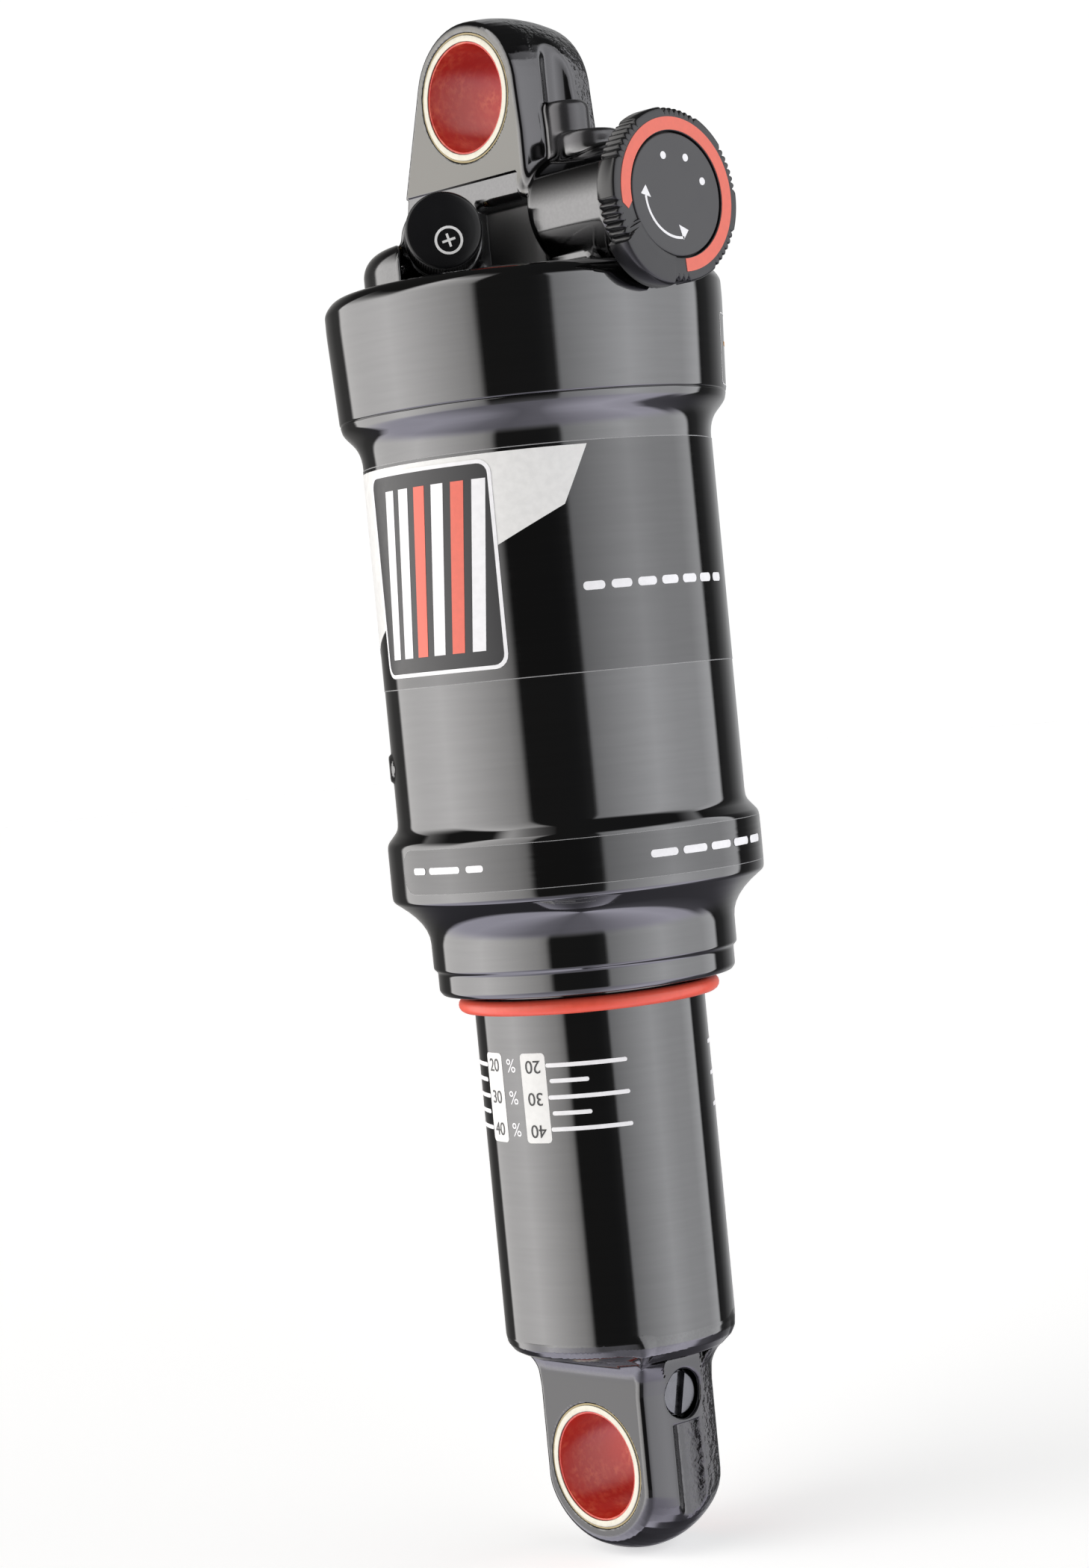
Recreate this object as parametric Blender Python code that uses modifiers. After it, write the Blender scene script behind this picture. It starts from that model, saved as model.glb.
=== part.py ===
"""A bicycle rear air shock, built as the separate pieces that a service bench would show.

Sizes below are in millimetres and are turned into metres where a mesh or an object is made.
The shock stands on its lower eye, with the damper axis along +Z. Every size is measured from
the centre of the lower eye; one empty, shock_frame, then lifts the whole shock so that the
origin is the middle of its footprint, at its lowest point.
"""

import math

import bmesh
import bpy

MM = 0.001
GAP = 0.3  # clearance between touching pieces

# Driving sizes
EYE_TO_EYE = 165.0
EYE_WIDTH = 12.7
EYE_HOLE_R = 7.65
TUBE_R = 14.0
TUBE_BORE_R = 12.0
TUBE_TOP_Z = 86.0
CAN_BORE_R = 19.3
COLLAR_R = 23.95
CAN_BOTTOM_Z = 58.2
CAN_TOP_Z = 142.7
SHAFT_R = 5.0
SHAFT_BORE_R = 2.0
KNOB_Z = 149.0
KNOB_TIP_X = 27.8
KNOB_BACK_X = 24.35
FOOT_Z = -11.1
HALF_EYE = EYE_WIDTH / 2
UPPER_Z = EYE_TO_EYE
FILL_PORT = (8.4, 2.95, 6.9)  # height of its axis, radius, and where its floor is

# Rebound adjuster
BOSS_R = 7.5
BOSS_FOOT_HALF = 5.6
CAM_HOLE_R = 3.3
CLIP_X = 20.6
DETENT_R = 5.3
CAM_RADIUS = 2.2
NEEDLE_TRAVEL = 1.4
KNOB_LOBES = 6
POINTER_ANGLE = 230.0
STEM_R = 3.7  # valve stem

# Valve axis: level, leaving the front face at this angle, through the middle of the cap's face
VALVE_TURN = -40.0
CAP_FACE = (3.9, -15.1, 148.45)
CAP_FACE_STATION = 16.0

UP_AXIS = (0, 0, 0)
FRONT_AXIS = (90, 0, 0)
SIDE_AXIS = (90, 0, 90)
VALVE_AXIS = (90, 0, 90 + VALVE_TURN)

COLOURS = {
    "gloss_black": ((0.012, 0.012, 0.014), 0.18, 0.9),
    "steel": ((0.72, 0.70, 0.64), 0.25, 1.0),
    "liner_red": ((0.28, 0.03, 0.02), 0.45, 0.0),
    "rubber": ((0.02, 0.02, 0.02), 0.7, 0.0),
    "coral": ((0.85, 0.12, 0.08), 0.45, 0.0),
    "bare_metal": ((0.62, 0.62, 0.63), 0.3, 1.0),
    "ptfe": ((0.35, 0.26, 0.14), 0.5, 0.0),
    "brass": ((0.65, 0.48, 0.20), 0.3, 1.0),
    "bumper": ((0.75, 0.60, 0.22), 0.6, 0.0),
    "black_plastic": ((0.015, 0.015, 0.016), 0.4, 0.0),
}


# ---------------------------------------------------------------- scene and helpers


def clear_scene():
    for obj in list(bpy.data.objects):
        bpy.data.objects.remove(obj, do_unlink=True)


def new_collection(name):
    collection = bpy.data.collections.new(name)
    bpy.context.scene.collection.children.link(collection)
    return collection


def material_for(name, colour):
    base, roughness, metallic = COLOURS[colour]
    material = bpy.data.materials.new(name)
    material.use_nodes = True
    shader = material.node_tree.nodes["Principled BSDF"]
    shader.inputs["Base Color"].default_value = (*base, 1.0)
    shader.inputs["Roughness"].default_value = roughness
    shader.inputs["Metallic"].default_value = metallic
    return material


def axis_empty(name, place=(0, 0, 0), turn=UP_AXIS, parent=None):
    """An empty whose local Z runs along the axis that its pieces share."""
    empty = bpy.data.objects.new(name, None)
    empty.empty_display_size = 5 * MM
    empty.location = [value * MM for value in place]
    empty.rotation_euler = [math.radians(angle) for angle in turn]
    empty.parent = parent
    PARTS.objects.link(empty)
    return empty


def add_object(name, mesh, parent, place=(0, 0, 0), turn=UP_AXIS, colour=None):
    """Link a mesh as a piece (with a colour) or as a hidden tool for a Boolean (without)."""
    obj = bpy.data.objects.new(name, mesh)
    obj.location = [value * MM for value in place]
    obj.rotation_euler = [math.radians(angle) for angle in turn]
    obj.parent = parent
    if colour:
        mesh.materials.append(material_for(name, colour))
        PARTS.objects.link(obj)
    else:
        obj.hide_render = True
        obj.display_type = "WIRE"
        CUTTERS.objects.link(obj)
    return obj


def smooth(mesh):
    mesh.shade_smooth()
    mesh.set_sharp_from_angle(angle=math.radians(35))


def turned(name, profile, parent, steps=20, closed=True, **where):
    """A turned piece: (radius, height) points, from the top down the outer side."""
    mesh = bpy.data.meshes.new(name)
    points = [(radius * MM, 0, height * MM) for radius, height in profile]
    edges = [(i, i + 1) for i in range(len(points) - 1)]
    if closed:
        edges.append((len(points) - 1, 0))
    mesh.from_pydata(points, edges, [])
    obj = add_object(name, mesh, parent, **where)
    screw = obj.modifiers.new("turn", "SCREW")
    screw.steps = screw.render_steps = steps
    screw.use_merge_vertices = True
    screw.merge_threshold = 1e-6
    screw.use_smooth_shade = True
    return obj


def ring(name, inner, outer, low, high, parent, steps=20, **where):
    profile = [(inner, high), (outer, high), (outer, low), (inner, low)]
    return turned(name, profile, parent, steps, **where)


def disc(name, radius, low, high, parent, steps=20, **where):
    profile = [(0, high), (radius, high), (radius, low), (0, low)]
    return turned(name, profile, parent, steps, closed=False, **where)


def o_ring(name, middle, section, height, parent, steps=20, sides=6, **where):
    """A round-section ring: middle is the radius of its centre line."""
    turn = [2 * math.pi * side / sides for side in range(sides)]
    profile = [(middle + section * math.sin(a), height + section * math.cos(a)) for a in turn]
    return turned(name, profile, parent, steps, **where)


def block(name, low, high, parent, **where):
    bm = bmesh.new()
    bmesh.ops.create_cube(bm, size=1)
    for vert in bm.verts:
        corner = [b if c > 0 else a for a, b, c in zip(low, high, vert.co)]
        vert.co = [value * MM for value in corner]
    mesh = bpy.data.meshes.new(name)
    bm.to_mesh(mesh)
    bm.free()
    return add_object(name, mesh, parent, **where)


def ball(name, radius, height, parent, **where):
    bm = bmesh.new()
    bmesh.ops.create_uvsphere(bm, u_segments=10, v_segments=6, radius=radius * MM)
    for vert in bm.verts:
        vert.co.z += height * MM
    mesh = bpy.data.meshes.new(name)
    bm.to_mesh(mesh)
    bm.free()
    smooth(mesh)
    return add_object(name, mesh, parent, **where)


def mesh_from_curve(name, curve):
    """The curve as one closed mesh, its caps welded on."""
    holder = bpy.data.objects.new(name + "_curve", curve)
    bpy.context.scene.collection.objects.link(holder)
    graph = bpy.context.evaluated_depsgraph_get()
    mesh = bpy.data.meshes.new_from_object(holder.evaluated_get(graph))
    bpy.data.objects.remove(holder, do_unlink=True)
    bpy.data.curves.remove(curve)
    bm = bmesh.new()
    bm.from_mesh(mesh)
    bmesh.ops.remove_doubles(bm, verts=bm.verts, dist=1e-6)
    bm.to_mesh(mesh)
    bm.free()
    mesh.name = name
    return mesh


def plate(name, outline, low, high, parent, **where):
    """A flat outline in the local XY plane, thick from low to high along local Z."""
    curve = bpy.data.curves.new(name, "CURVE")
    curve.dimensions = "2D"
    curve.fill_mode = "BOTH"
    curve.extrude = (high - low) / 2 * MM
    spline = curve.splines.new("POLY")
    spline.points.add(len(outline) - 1)
    for point, (x, y) in zip(spline.points, outline):
        point.co = (x * MM, y * MM, 0, 1)
    spline.use_cyclic_u = True
    mesh = mesh_from_curve(name, curve)
    bm = bmesh.new()
    bm.from_mesh(mesh)
    bmesh.ops.dissolve_limit(bm, angle_limit=math.radians(0.5), verts=bm.verts, edges=bm.edges)
    bmesh.ops.translate(bm, verts=bm.verts, vec=(0, 0, (low + high) / 2 * MM))
    bm.to_mesh(mesh)
    bm.free()
    mesh.shade_flat()
    return add_object(name, mesh, parent, **where)


def coil(name, radius, wire, low, high, turns, parent, **where):
    """A helical spring along local Z."""
    curve = bpy.data.curves.new(name, "CURVE")
    curve.dimensions = "3D"
    curve.bevel_depth = wire * MM
    curve.bevel_resolution = 1
    curve.use_fill_caps = True
    count = int(turns * 7)
    spline = curve.splines.new("POLY")
    spline.points.add(count)
    for i, point in enumerate(spline.points):
        angle = 2 * math.pi * turns * i / count
        height = low + (high - low) * i / count
        point.co = (radius * math.cos(angle) * MM, radius * math.sin(angle) * MM, height * MM, 1)
    mesh = mesh_from_curve(name, curve)
    smooth(mesh)
    return add_object(name, mesh, parent, **where)


def drafted(name, outline, half_width, parent, **where):
    """A forged lump with draft: outline(grow) at both faces is fuller at the parting plane.

    outline(grow) gives (x, z) points; the lump runs from -half_width to +half_width along Y.
    """
    levels = ((-half_width, 0.0), (-half_width * 0.55, 0.75), (0.0, 1.0))
    levels += ((half_width * 0.55, 0.75), (half_width, 0.0))
    bm = bmesh.new()
    rows = []
    for y, grow in levels:
        points = outline(grow)
        rows.append([bm.verts.new((x * MM, y * MM, z * MM)) for x, z in points])
    count = len(rows[0])
    for near, far in zip(rows, rows[1:]):
        for i in range(count):
            j = (i + 1) % count
            bm.faces.new((near[i], near[j], far[j], far[i]))
    bm.faces.new(rows[0])
    bm.faces.new(rows[-1])
    bmesh.ops.recalc_face_normals(bm, faces=bm.faces)
    mesh = bpy.data.meshes.new(name)
    bm.to_mesh(mesh)
    bm.free()
    return add_object(name, mesh, parent, **where)


def combine(obj, tools, operation):
    for tool in tools:
        boolean = obj.modifiers.new(tool.name, "BOOLEAN")
        boolean.operation = operation
        boolean.solver = "EXACT"
        boolean.object = tool


def join(obj, *tools):
    combine(obj, tools, "UNION")


def cut(obj, *tools):
    combine(obj, tools, "DIFFERENCE")


def arc(centre, radius, start, end, count):
    """Points on a circle from start to end degrees, both included."""
    points = []
    for i in range(count + 1):
        angle = math.radians(start + (end - start) * i / count)
        points.append(
            (centre[0] + radius * math.cos(angle), centre[1] + radius * math.sin(angle))
        )
    return points


# ---------------------------------------------------------------- damper body side


def lower_eyelet_outline(grow):
    """D-shaped lower eye: round at the bottom, widening into the tube at the top."""
    half_width = 8.75 + 1.35 * grow
    radius = 9.15 + (-FOOT_Z - 9.15) * grow
    flare = [(half_width, 9.0), (half_width + 0.5, 11.8), (half_width + 1.2, 14.5)]
    left = [(-x, z) for x, z in reversed(flare)]
    bottom = arc((0, 0), radius, 180, 360, 16)
    bottom = [(max(-half_width, min(half_width, x)), z) for x, z in bottom]
    return bottom + flare + left


def damper_body(parent):
    """Lower eyelet and tube, machined from one forging."""
    floor_z = 15.0
    profile = [(TUBE_BORE_R, TUBE_TOP_Z), (TUBE_R, TUBE_TOP_Z)]
    profile += [(TUBE_R, 16.5), (13.7, 15.1), (12.9, 14.1), (11.6, 13.0)]
    profile += [(10.9, 11.6), (9.4, 10.6), (0, 10.6), (0, floor_z), (TUBE_BORE_R, floor_z)]
    profile = profile[-2:] + profile[:-2]
    body = turned("damper_body", profile, parent, 32, closed=False, colour="gloss_black")
    eyelet = drafted("lower_eyelet_lump", lower_eyelet_outline, HALF_EYE, parent)
    join(body, eyelet)
    chamber = disc("gas_chamber_cut", TUBE_BORE_R, floor_z, TUBE_TOP_Z + 5, parent, 32)
    eye = disc("lower_eye_cut", EYE_HOLE_R, -10, 10, parent, turn=FRONT_AXIS)
    port_z, port_r, port_end = FILL_PORT
    port = disc("fill_port_cut", port_r, port_end, 20, parent, 20,
                place=(0, 0, port_z), turn=SIDE_AXIS)
    passage = disc("gas_passage_cut", 0.8, 9.5, 16, parent, 12, place=(7.9, 0, 0))
    groove = disc("flank_groove_cut", 2.8, -7.2, 5.0, parent, 16, place=(11.8, 0, 0))
    cut(body, chamber, eye, port, passage, groove)


def bushing(prefix, height, parent):
    """Steel-backed plain bush: shell outside, sliding liner inside."""
    place = {"place": (0, 0, height), "turn": FRONT_AXIS}
    liner_r, shell_in, shell_out = 6.35, 6.95, EYE_HOLE_R - 0.25
    ring(prefix + "_bushing_shell", shell_in, shell_out, -HALF_EYE, HALF_EYE, parent,
         colour="steel", **place)
    ring(prefix + "_bushing_liner", liner_r, shell_in - 0.25, -HALF_EYE, HALF_EYE, parent,
         colour="liner_red", **place)


def gas_fill(parent):
    """Slotted screw that holds a rubber pellet on the floor of the fill port."""
    port_z, port_r, port_end = FILL_PORT
    place = {"place": (0, 0, port_z), "turn": SIDE_AXIS}
    disc("ifp_fill_pellet", 2.3, port_end + 0.25, port_end + 0.7, parent, 16,
         colour="rubber", **place)
    screw = disc("ifp_fill_screw", port_r - GAP, port_end + 1.0, port_end + 2.2, parent, 20,
                 colour="steel", **place)
    slot = block("fill_screw_slot_cut", (-0.55, -4, port_end + 1.6), (0.55, 4, 12), parent,
                 place=(0, 0, port_z), turn=SIDE_AXIS)
    cut(screw, slot)


def seal_head(parent):
    """Seal head screwed on the tube. Its rim is the air piston, sealing on the can's bore."""
    base, roof, top = 78.0, TUBE_TOP_Z + GAP, 90.0
    outer, spigot = CAN_BORE_R - GAP, TUBE_BORE_R - GAP
    shaft_hole = SHAFT_R + GAP
    bush_r, seal_r = 6.6, 7.4
    profile = [(shaft_hole, 89.6), (shaft_hole + 0.6, top), (outer - 0.6, top)]
    profile += [(outer, 89.4), (outer, 87.9), (16.4, 87.9), (16.4, 84.1), (outer, 84.1)]
    profile += [(outer, 82.7), (17.9, 82.7), (17.9, 80.0), (outer, 80.0), (outer, base)]
    profile += [(TUBE_R + GAP, base), (TUBE_R + GAP, roof), (spigot, roof)]
    profile += [(spigot, 84.9), (10.2, 84.9), (10.2, 82.6), (spigot, 82.6)]
    profile += [(spigot, base), (bush_r, base), (bush_r, 82.2), (shaft_hole, 82.2)]
    profile += [(shaft_hole, 83.0), (seal_r, 83.0), (seal_r, 86.2), (shaft_hole, 86.2)]
    turned("air_piston", profile, parent, 24, colour="bare_metal")
    ring("air_piston_seal", 16.7, CAN_BORE_R - 0.22, 84.4, 87.6, parent, colour="rubber")
    ring("air_piston_glide_ring", 18.2, CAN_BORE_R - 0.22, 80.3, 82.4, parent, colour="ptfe")
    ring("shaft_bushing", SHAFT_R + 0.2, bush_r - GAP, base + 0.2, 81.9, parent, 20,
         colour="ptfe")
    ring("shaft_seal", SHAFT_R + 0.2, seal_r - GAP, 83.3, 85.9, parent, 24, colour="rubber")
    o_ring("seal_head_oring", 11.05, 0.65, 83.75, parent, colour="rubber")


def floating_piston(parent):
    """Internal floating piston between the oil and the nitrogen."""
    low, high, outer = 24.8, 30.8, TUBE_BORE_R - GAP
    profile = [(0, high), (8.0, high), (outer - 0.4, high), (outer, high - 0.4)]
    profile += [(outer, 29.6), (10.0, 29.6), (10.0, 26.8), (outer, 26.8), (outer, low)]
    profile += [(8.6, low), (8.6, 27.6), (0, 27.6)]
    turned("ifp", profile, parent, closed=False, colour="bare_metal")
    ring("ifp_oring", 10.3, TUBE_BORE_R - 0.2, 27.1, 29.3, parent, colour="rubber")


def travel_ring(parent):
    o_ring("sag_ring", 15.06, 0.78, 56.9, parent, 32, 6, colour="coral")


# ---------------------------------------------------------------- air can side


def air_can(parent):
    """Air can, its two thick collars and the neck that runs on the damper body."""
    neck_r = TUBE_R + 0.6
    outer = [(20.9, CAN_TOP_Z), (22.6, 142.1), (23.6, 141.1), (COLLAR_R, 139.8)]
    outer += [(COLLAR_R, 138.4), (23.42, 127.8), (22.8, 126.4)]
    outer += [(21.35, 124.2), (21.1, 122.8), (21.1, 79.4), (22.2, 77.6)]
    outer += [(22.6, 76.4), (22.6, 70.4), (20.8, 68.6)]
    outer += [(19.1, 66.4), (18.5, 64.4), (18.5, 61.5), (18.0, 61.1), (18.0, 59.2)]
    outer += [(17.2, CAN_BOTTOM_Z)]
    inner = [(neck_r, CAN_BOTTOM_Z), (neck_r, 58.7), (16.6, 58.7), (16.6, 61.3)]
    inner += [(neck_r, 61.3), (neck_r, 62.2), (15.6, 62.2), (15.6, 65.2), (neck_r, 65.2)]
    inner += [(neck_r, 66.1), (16.8, 66.1), (16.8, 69.1), (neck_r, 69.1), (neck_r, 71.0)]
    inner += [(CAN_BORE_R, 71.0), (CAN_BORE_R, 129.0), (20.6, 130.2), (20.6, CAN_TOP_Z)]
    turned("air_can", outer + inner, parent, 32, colour="gloss_black")
    inside = TUBE_R + 0.25
    ring("can_wiper", inside, 16.3, 59.0, 61.0, parent, colour="rubber")
    ring("can_glide_ring", inside, 15.3, 62.5, 64.9, parent, colour="ptfe")
    ring("can_seal", inside, 16.5, 66.4, 68.8, parent, colour="rubber")
    ring("top_out_bumper", TUBE_R + GAP, 17.5, 71.3, 77.4, parent, colour="bumper")


def tower_outline(grow):
    """Upper eye and the leaning web below it, as (x, z) points."""
    draft, back_draft, lean = 0.85 * grow, 0.3 * grow, 18.0
    points = [(9.2 + draft, 141.0), (9.2 + draft, 159.5)]
    points += arc((0, UPPER_Z), 8.8 + draft, 0, 180 - lean, 14)
    points += [(-12.5 - back_draft, 155.0), (-14.5 - back_draft, 145.9)]
    points += [(-14.9 - back_draft, 141.0)]
    return points


def boss_outline():
    """Section of the adjuster boss: round, on a narrower foot that reaches the can's top."""
    foot = CAN_TOP_Z + GAP - KNOB_Z
    below = math.degrees(math.acos(BOSS_FOOT_HALF / BOSS_R))
    ring_part = arc((0, 0), BOSS_R, -below, 180 + below, 20)
    return ring_part + [(-BOSS_FOOT_HALF, foot), (BOSS_FOOT_HALF, foot)]


def valve_point(station):
    """World place of a point on the valve axis, station mm outward from the stem's foot."""
    turn = math.radians(VALVE_TURN)
    reach = station - CAP_FACE_STATION
    return (CAP_FACE[0] + reach * math.cos(turn), CAP_FACE[1] + reach * math.sin(turn),
            CAP_FACE[2])


def head_blank(parent):
    """The turned part of the head: base, screw thread land and the skirt with its groove."""
    base_r, base_top, step_z, thread_r, skirt_r = 18.8, 147.9, 142.4, 20.3, CAN_BORE_R - GAP
    profile = [(0, base_top), (base_r - 2.9, base_top), (base_r - 1.3, base_top - 0.6)]
    profile += [(base_r - 0.3, base_top - 1.7), (base_r, base_top - 3.0)]
    profile += [(base_r, step_z), (thread_r, step_z)]
    profile += [(thread_r, 134.2), (skirt_r, 133.4), (skirt_r, 132.9), (17.4, 132.9)]
    profile += [(17.4, 130.6), (skirt_r, 130.6), (skirt_r, 129.6), (13.0, 129.6)]
    profile += [(13.0, 133.6), (0, 133.6)]
    return turned("shaft_eyelet", profile, parent, 32, closed=False, colour="gloss_black")


def head_holes(parent):
    """Cutters for the head's bores, one turned cutter for each axis."""
    thread_top = 145.6
    shaft = [(0, KNOB_Z), (2.1, KNOB_Z), (2.1, thread_top), (SHAFT_R + GAP, thread_top)]
    shaft += [(SHAFT_R + GAP, 120), (0, 120)]
    cam = [(0, 30), (CAM_HOLE_R, 30), (CAM_HOLE_R, CLIP_X + 0.55), (3.9, CLIP_X + 0.55)]
    cam += [(3.9, CLIP_X - 0.55), (CAM_HOLE_R, CLIP_X - 0.55), (CAM_HOLE_R, -3.4), (0, -3.4)]
    stem = [(0, 20), (STEM_R + GAP, 20), (STEM_R + GAP, -0.3), (1.2, -0.3), (1.2, -4.2)]
    stem += [(0, -4.2)]
    side = {"place": (0, 0, KNOB_Z), "turn": SIDE_AXIS}
    drop_x, drop_y, drop_z = valve_point(-3.0)
    return [
        turned("shaft_hole_cut", shaft, parent, 24, closed=False),
        turned("cam_hole_cut", cam, parent, 24, closed=False, **side),
        disc("detent_hole_cut", 1.05, 18.4, 30, parent, 12,
             place=(0, 0, KNOB_Z + DETENT_R), turn=SIDE_AXIS),
        turned("stem_hole_cut", stem, parent, 24, closed=False,
               place=valve_point(0), turn=VALVE_AXIS),
        disc("air_drop_cut", 1.1, 120, drop_z, parent, 12, place=(drop_x, drop_y, 0)),
        disc("upper_eye_cut", EYE_HOLE_R, -10, 10, parent, place=(0, 0, UPPER_Z),
             turn=FRONT_AXIS),
    ]


def shelf_outline():
    """Plan of the milled shelf: a wall behind it, and a left wall that runs along the valve."""
    back_y, corner_x, reach = -5.0, -16.4, 40.0
    turn = math.radians(VALVE_TURN)
    far_x, far_y = corner_x + reach * math.cos(turn), back_y + reach * math.sin(turn)
    return [(corner_x, back_y), (far_x, far_y), (reach, far_y), (reach, back_y)]


def shaft_eyelet(parent):
    """The head: screwed plug, base, upper eye, adjuster boss and valve boss in one piece."""
    head = head_blank(parent)
    cut(head, plate("front_shelf_cut", shelf_outline(), 142.75, 160.0, parent))
    tower = drafted("tower_lump", tower_outline, HALF_EYE, parent)
    boss = plate("adjuster_boss_lump", boss_outline(), 2.0, 22.8, parent,
                 place=(0, 0, KNOB_Z), turn=SIDE_AXIS)
    foot = block("boss_foot_lump", (2.2, -5.5, 141.4), (18.0, 5.5, 146.0), parent)
    column = disc("tall_column_lump", 2.9, 149.0, 162.8, parent, 20, place=(10.4, 0, 0))
    stub = disc("short_column_lump", 3.7, 150.0, 158.6, parent, 20, place=(14.1, 0, 0))
    valve_boss = disc("valve_boss_lump", 4.9, -1.0, 7.7, parent, 28,
                      place=valve_point(0), turn=VALVE_AXIS)
    web = block("valve_web_lump", (-3.2, -6.1, -1.5), (3.2, 0.1, 7.0), parent,
                place=valve_point(0), turn=VALVE_AXIS)
    join(head, tower, boss, foot, column, stub, valve_boss, web)
    pocket = block("web_pocket_cut", (0.2, -9, 142.95), (9.35, -4.7, 151.0), parent)
    groove = disc("drill_groove_cut", 2.9, 163.0, 180.0, parent, 20, place=(11.3, 0, 0))
    cut(head, pocket, groove, *head_holes(parent))


def damper_shaft_group(parent):
    """Hollow shaft, main piston with its shims and nut, and the bottom-out bumper."""
    post_r, shoulder, foot = 3.3, 74.0, 62.6
    profile = [(SHAFT_BORE_R, 145.2), (SHAFT_R - 0.4, 145.2), (SHAFT_R, 144.8)]
    profile += [(SHAFT_R, shoulder), (post_r, shoulder), (post_r, foot), (SHAFT_BORE_R, foot)]
    turned("damper_shaft", profile, parent, 24, colour="bare_metal")
    hole = post_r + GAP
    outer = TUBE_BORE_R - GAP
    piston = [(hole, 72.0), (outer - 0.5, 72.0), (outer, 71.5), (outer, 70.9), (10.4, 70.9)]
    piston += [(10.4, 68.1), (outer, 68.1), (outer, 67.5), (outer - 0.5, 67.0), (hole, 67.0)]
    piston_body = turned("main_piston", piston, parent, 24, colour="bare_metal")
    ports = []
    for index in range(4):
        angle = math.radians(45 + 90 * index)
        spot = (7.6 * math.cos(angle), 7.6 * math.sin(angle), 0)
        ports.append(disc(f"piston_port_cut_{index}", 1.3, 60, 80, parent, 8, place=spot))
    cut(piston_body, *ports)
    ring("main_piston_ring", 10.7, TUBE_BORE_R - 0.2, 68.4, 70.6, parent, colour="ptfe")
    ring("rebound_shim_large", hole, 9.4, 72.2, 72.6, parent, 16, colour="steel")
    ring("rebound_shim_small", hole, 6.6, 72.8, 73.2, parent, 16, colour="steel")
    ring("compression_shim_large", hole, 9.4, 66.4, 66.8, parent, 16, colour="steel")
    ring("compression_shim_small", hole, 6.6, 65.8, 66.2, parent, 16, colour="steel")
    nut_outline = arc((0, 0), 5.6, 0, 300, 5)
    nut = plate("piston_nut", nut_outline, 63.2, 65.5, parent, colour="steel")
    cut(nut, disc("nut_hole_cut", hole, 60, 70, parent, 20))
    bumper = [(SHAFT_R + GAP, 133.0), (11.5, 133.0), (12.0, 131.5), (10.8, 130.4)]
    bumper += [(12.0, 129.6), (11.4, 128.6), (SHAFT_R + GAP, 128.6)]
    turned("bottom_out_bumper", bumper, parent, colour="bumper")
    ring("head_oring", 17.7, CAN_BORE_R - 0.2, 130.9, 132.6, parent, colour="rubber")


# ---------------------------------------------------------------- rebound adjuster


def snail_outline():
    """Cam whose radius grows evenly over 300 degrees. Local angle 270 faces the needle."""
    middle, rise, half_sweep = CAM_RADIUS, NEEDLE_TRAVEL / 2, 150
    points = []
    for step in range(-half_sweep, half_sweep + 1, 15):
        radius = middle + rise * step / half_sweep
        angle = math.radians(270 - step)
        points.append((radius * math.cos(angle), radius * math.sin(angle)))
    return points


def knob_outline():
    """Six smooth lobes with rows of knurls between them."""
    rim, pointer_rim, valley, knurls = 9.9, 10.4, 9.45, 5
    lobe_half, pitch = 14.0, 360.0 / KNOB_LOBES
    points = []
    for lobe in range(KNOB_LOBES):
        middle = POINTER_ANGLE + lobe * pitch
        lobe_r = rim if lobe else pointer_rim
        points += arc((0, 0), lobe_r, middle - lobe_half, middle + lobe_half, 3)
        step = (pitch - 2 * lobe_half) / (2 * knurls)
        for knurl in range(1, 2 * knurls):
            radius = valley if knurl % 2 else rim - 0.05
            angle = math.radians(middle + lobe_half + knurl * step)
            points.append((radius * math.cos(angle), radius * math.sin(angle)))
    return points


def rebound_adjuster(parent):
    """Knob and everything that turns with it. Heights are distances along +X."""
    knob = plate("rebound_knob", knob_outline(), KNOB_BACK_X, KNOB_TIP_X, parent,
                 colour="black_plastic")
    hub = disc("knob_hub_lump", 6.8, 23.1, 26.0, parent, 28)
    join(knob, hub)
    bore = [(0, 30), (7.5, 30), (7.5, 27.0), (2.4, 27.0), (2.4, 26.1), (1.2, 26.1)]
    bore += [(1.2, 25.5), (2.5, 25.5), (2.5, 20), (0, 20)]
    bore_cutter = turned("knob_bore_cut", bore, parent, 24, closed=False)
    click_groove = ring("click_groove_cut", DETENT_R - 0.75, DETENT_R + 0.75, 22, 23.7,
                        parent, 20)
    cut(knob, bore_cutter, click_groove)
    disc("knob_face_disc", 7.2, 27.25, 27.7, parent, 36, colour="black_plastic")
    head_top = 26.9
    screw = [(0, head_top), (2.0, head_top), (2.0, 26.35), (0.9, 26.35), (0.9, 20.4), (0, 20.4)]
    turned("knob_screw", screw, parent, 16, closed=False, colour="steel")
    journal, groove_r, drive_r = CAM_HOLE_R - GAP, 2.2, 2.2
    cam = [(0, 25.2), (drive_r, 25.2), (drive_r, 22.6), (journal, 22.6)]
    cam += [(journal, CLIP_X + 0.6), (groove_r, CLIP_X + 0.6), (groove_r, CLIP_X - 0.6)]
    cam += [(journal, CLIP_X - 0.6), (journal, 17.0), (groove_r, 17.0), (groove_r, 14.8)]
    cam += [(journal, 14.8), (journal, 2.4), (0, 2.4)]
    cam_shaft = turned("rebound_cam_shaft", cam, parent, 20, closed=False, colour="steel")
    snail = plate("snail_lump", snail_outline(), -2.4, 3.0, parent)
    join(cam_shaft, snail)
    cut(cam_shaft, disc("cam_screw_hole_cut", 1.2, 20, 30, parent, 16))
    o_ring("cam_shaft_oring", 2.8, 0.32, 15.9, parent, 16, colour="rubber")


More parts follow.
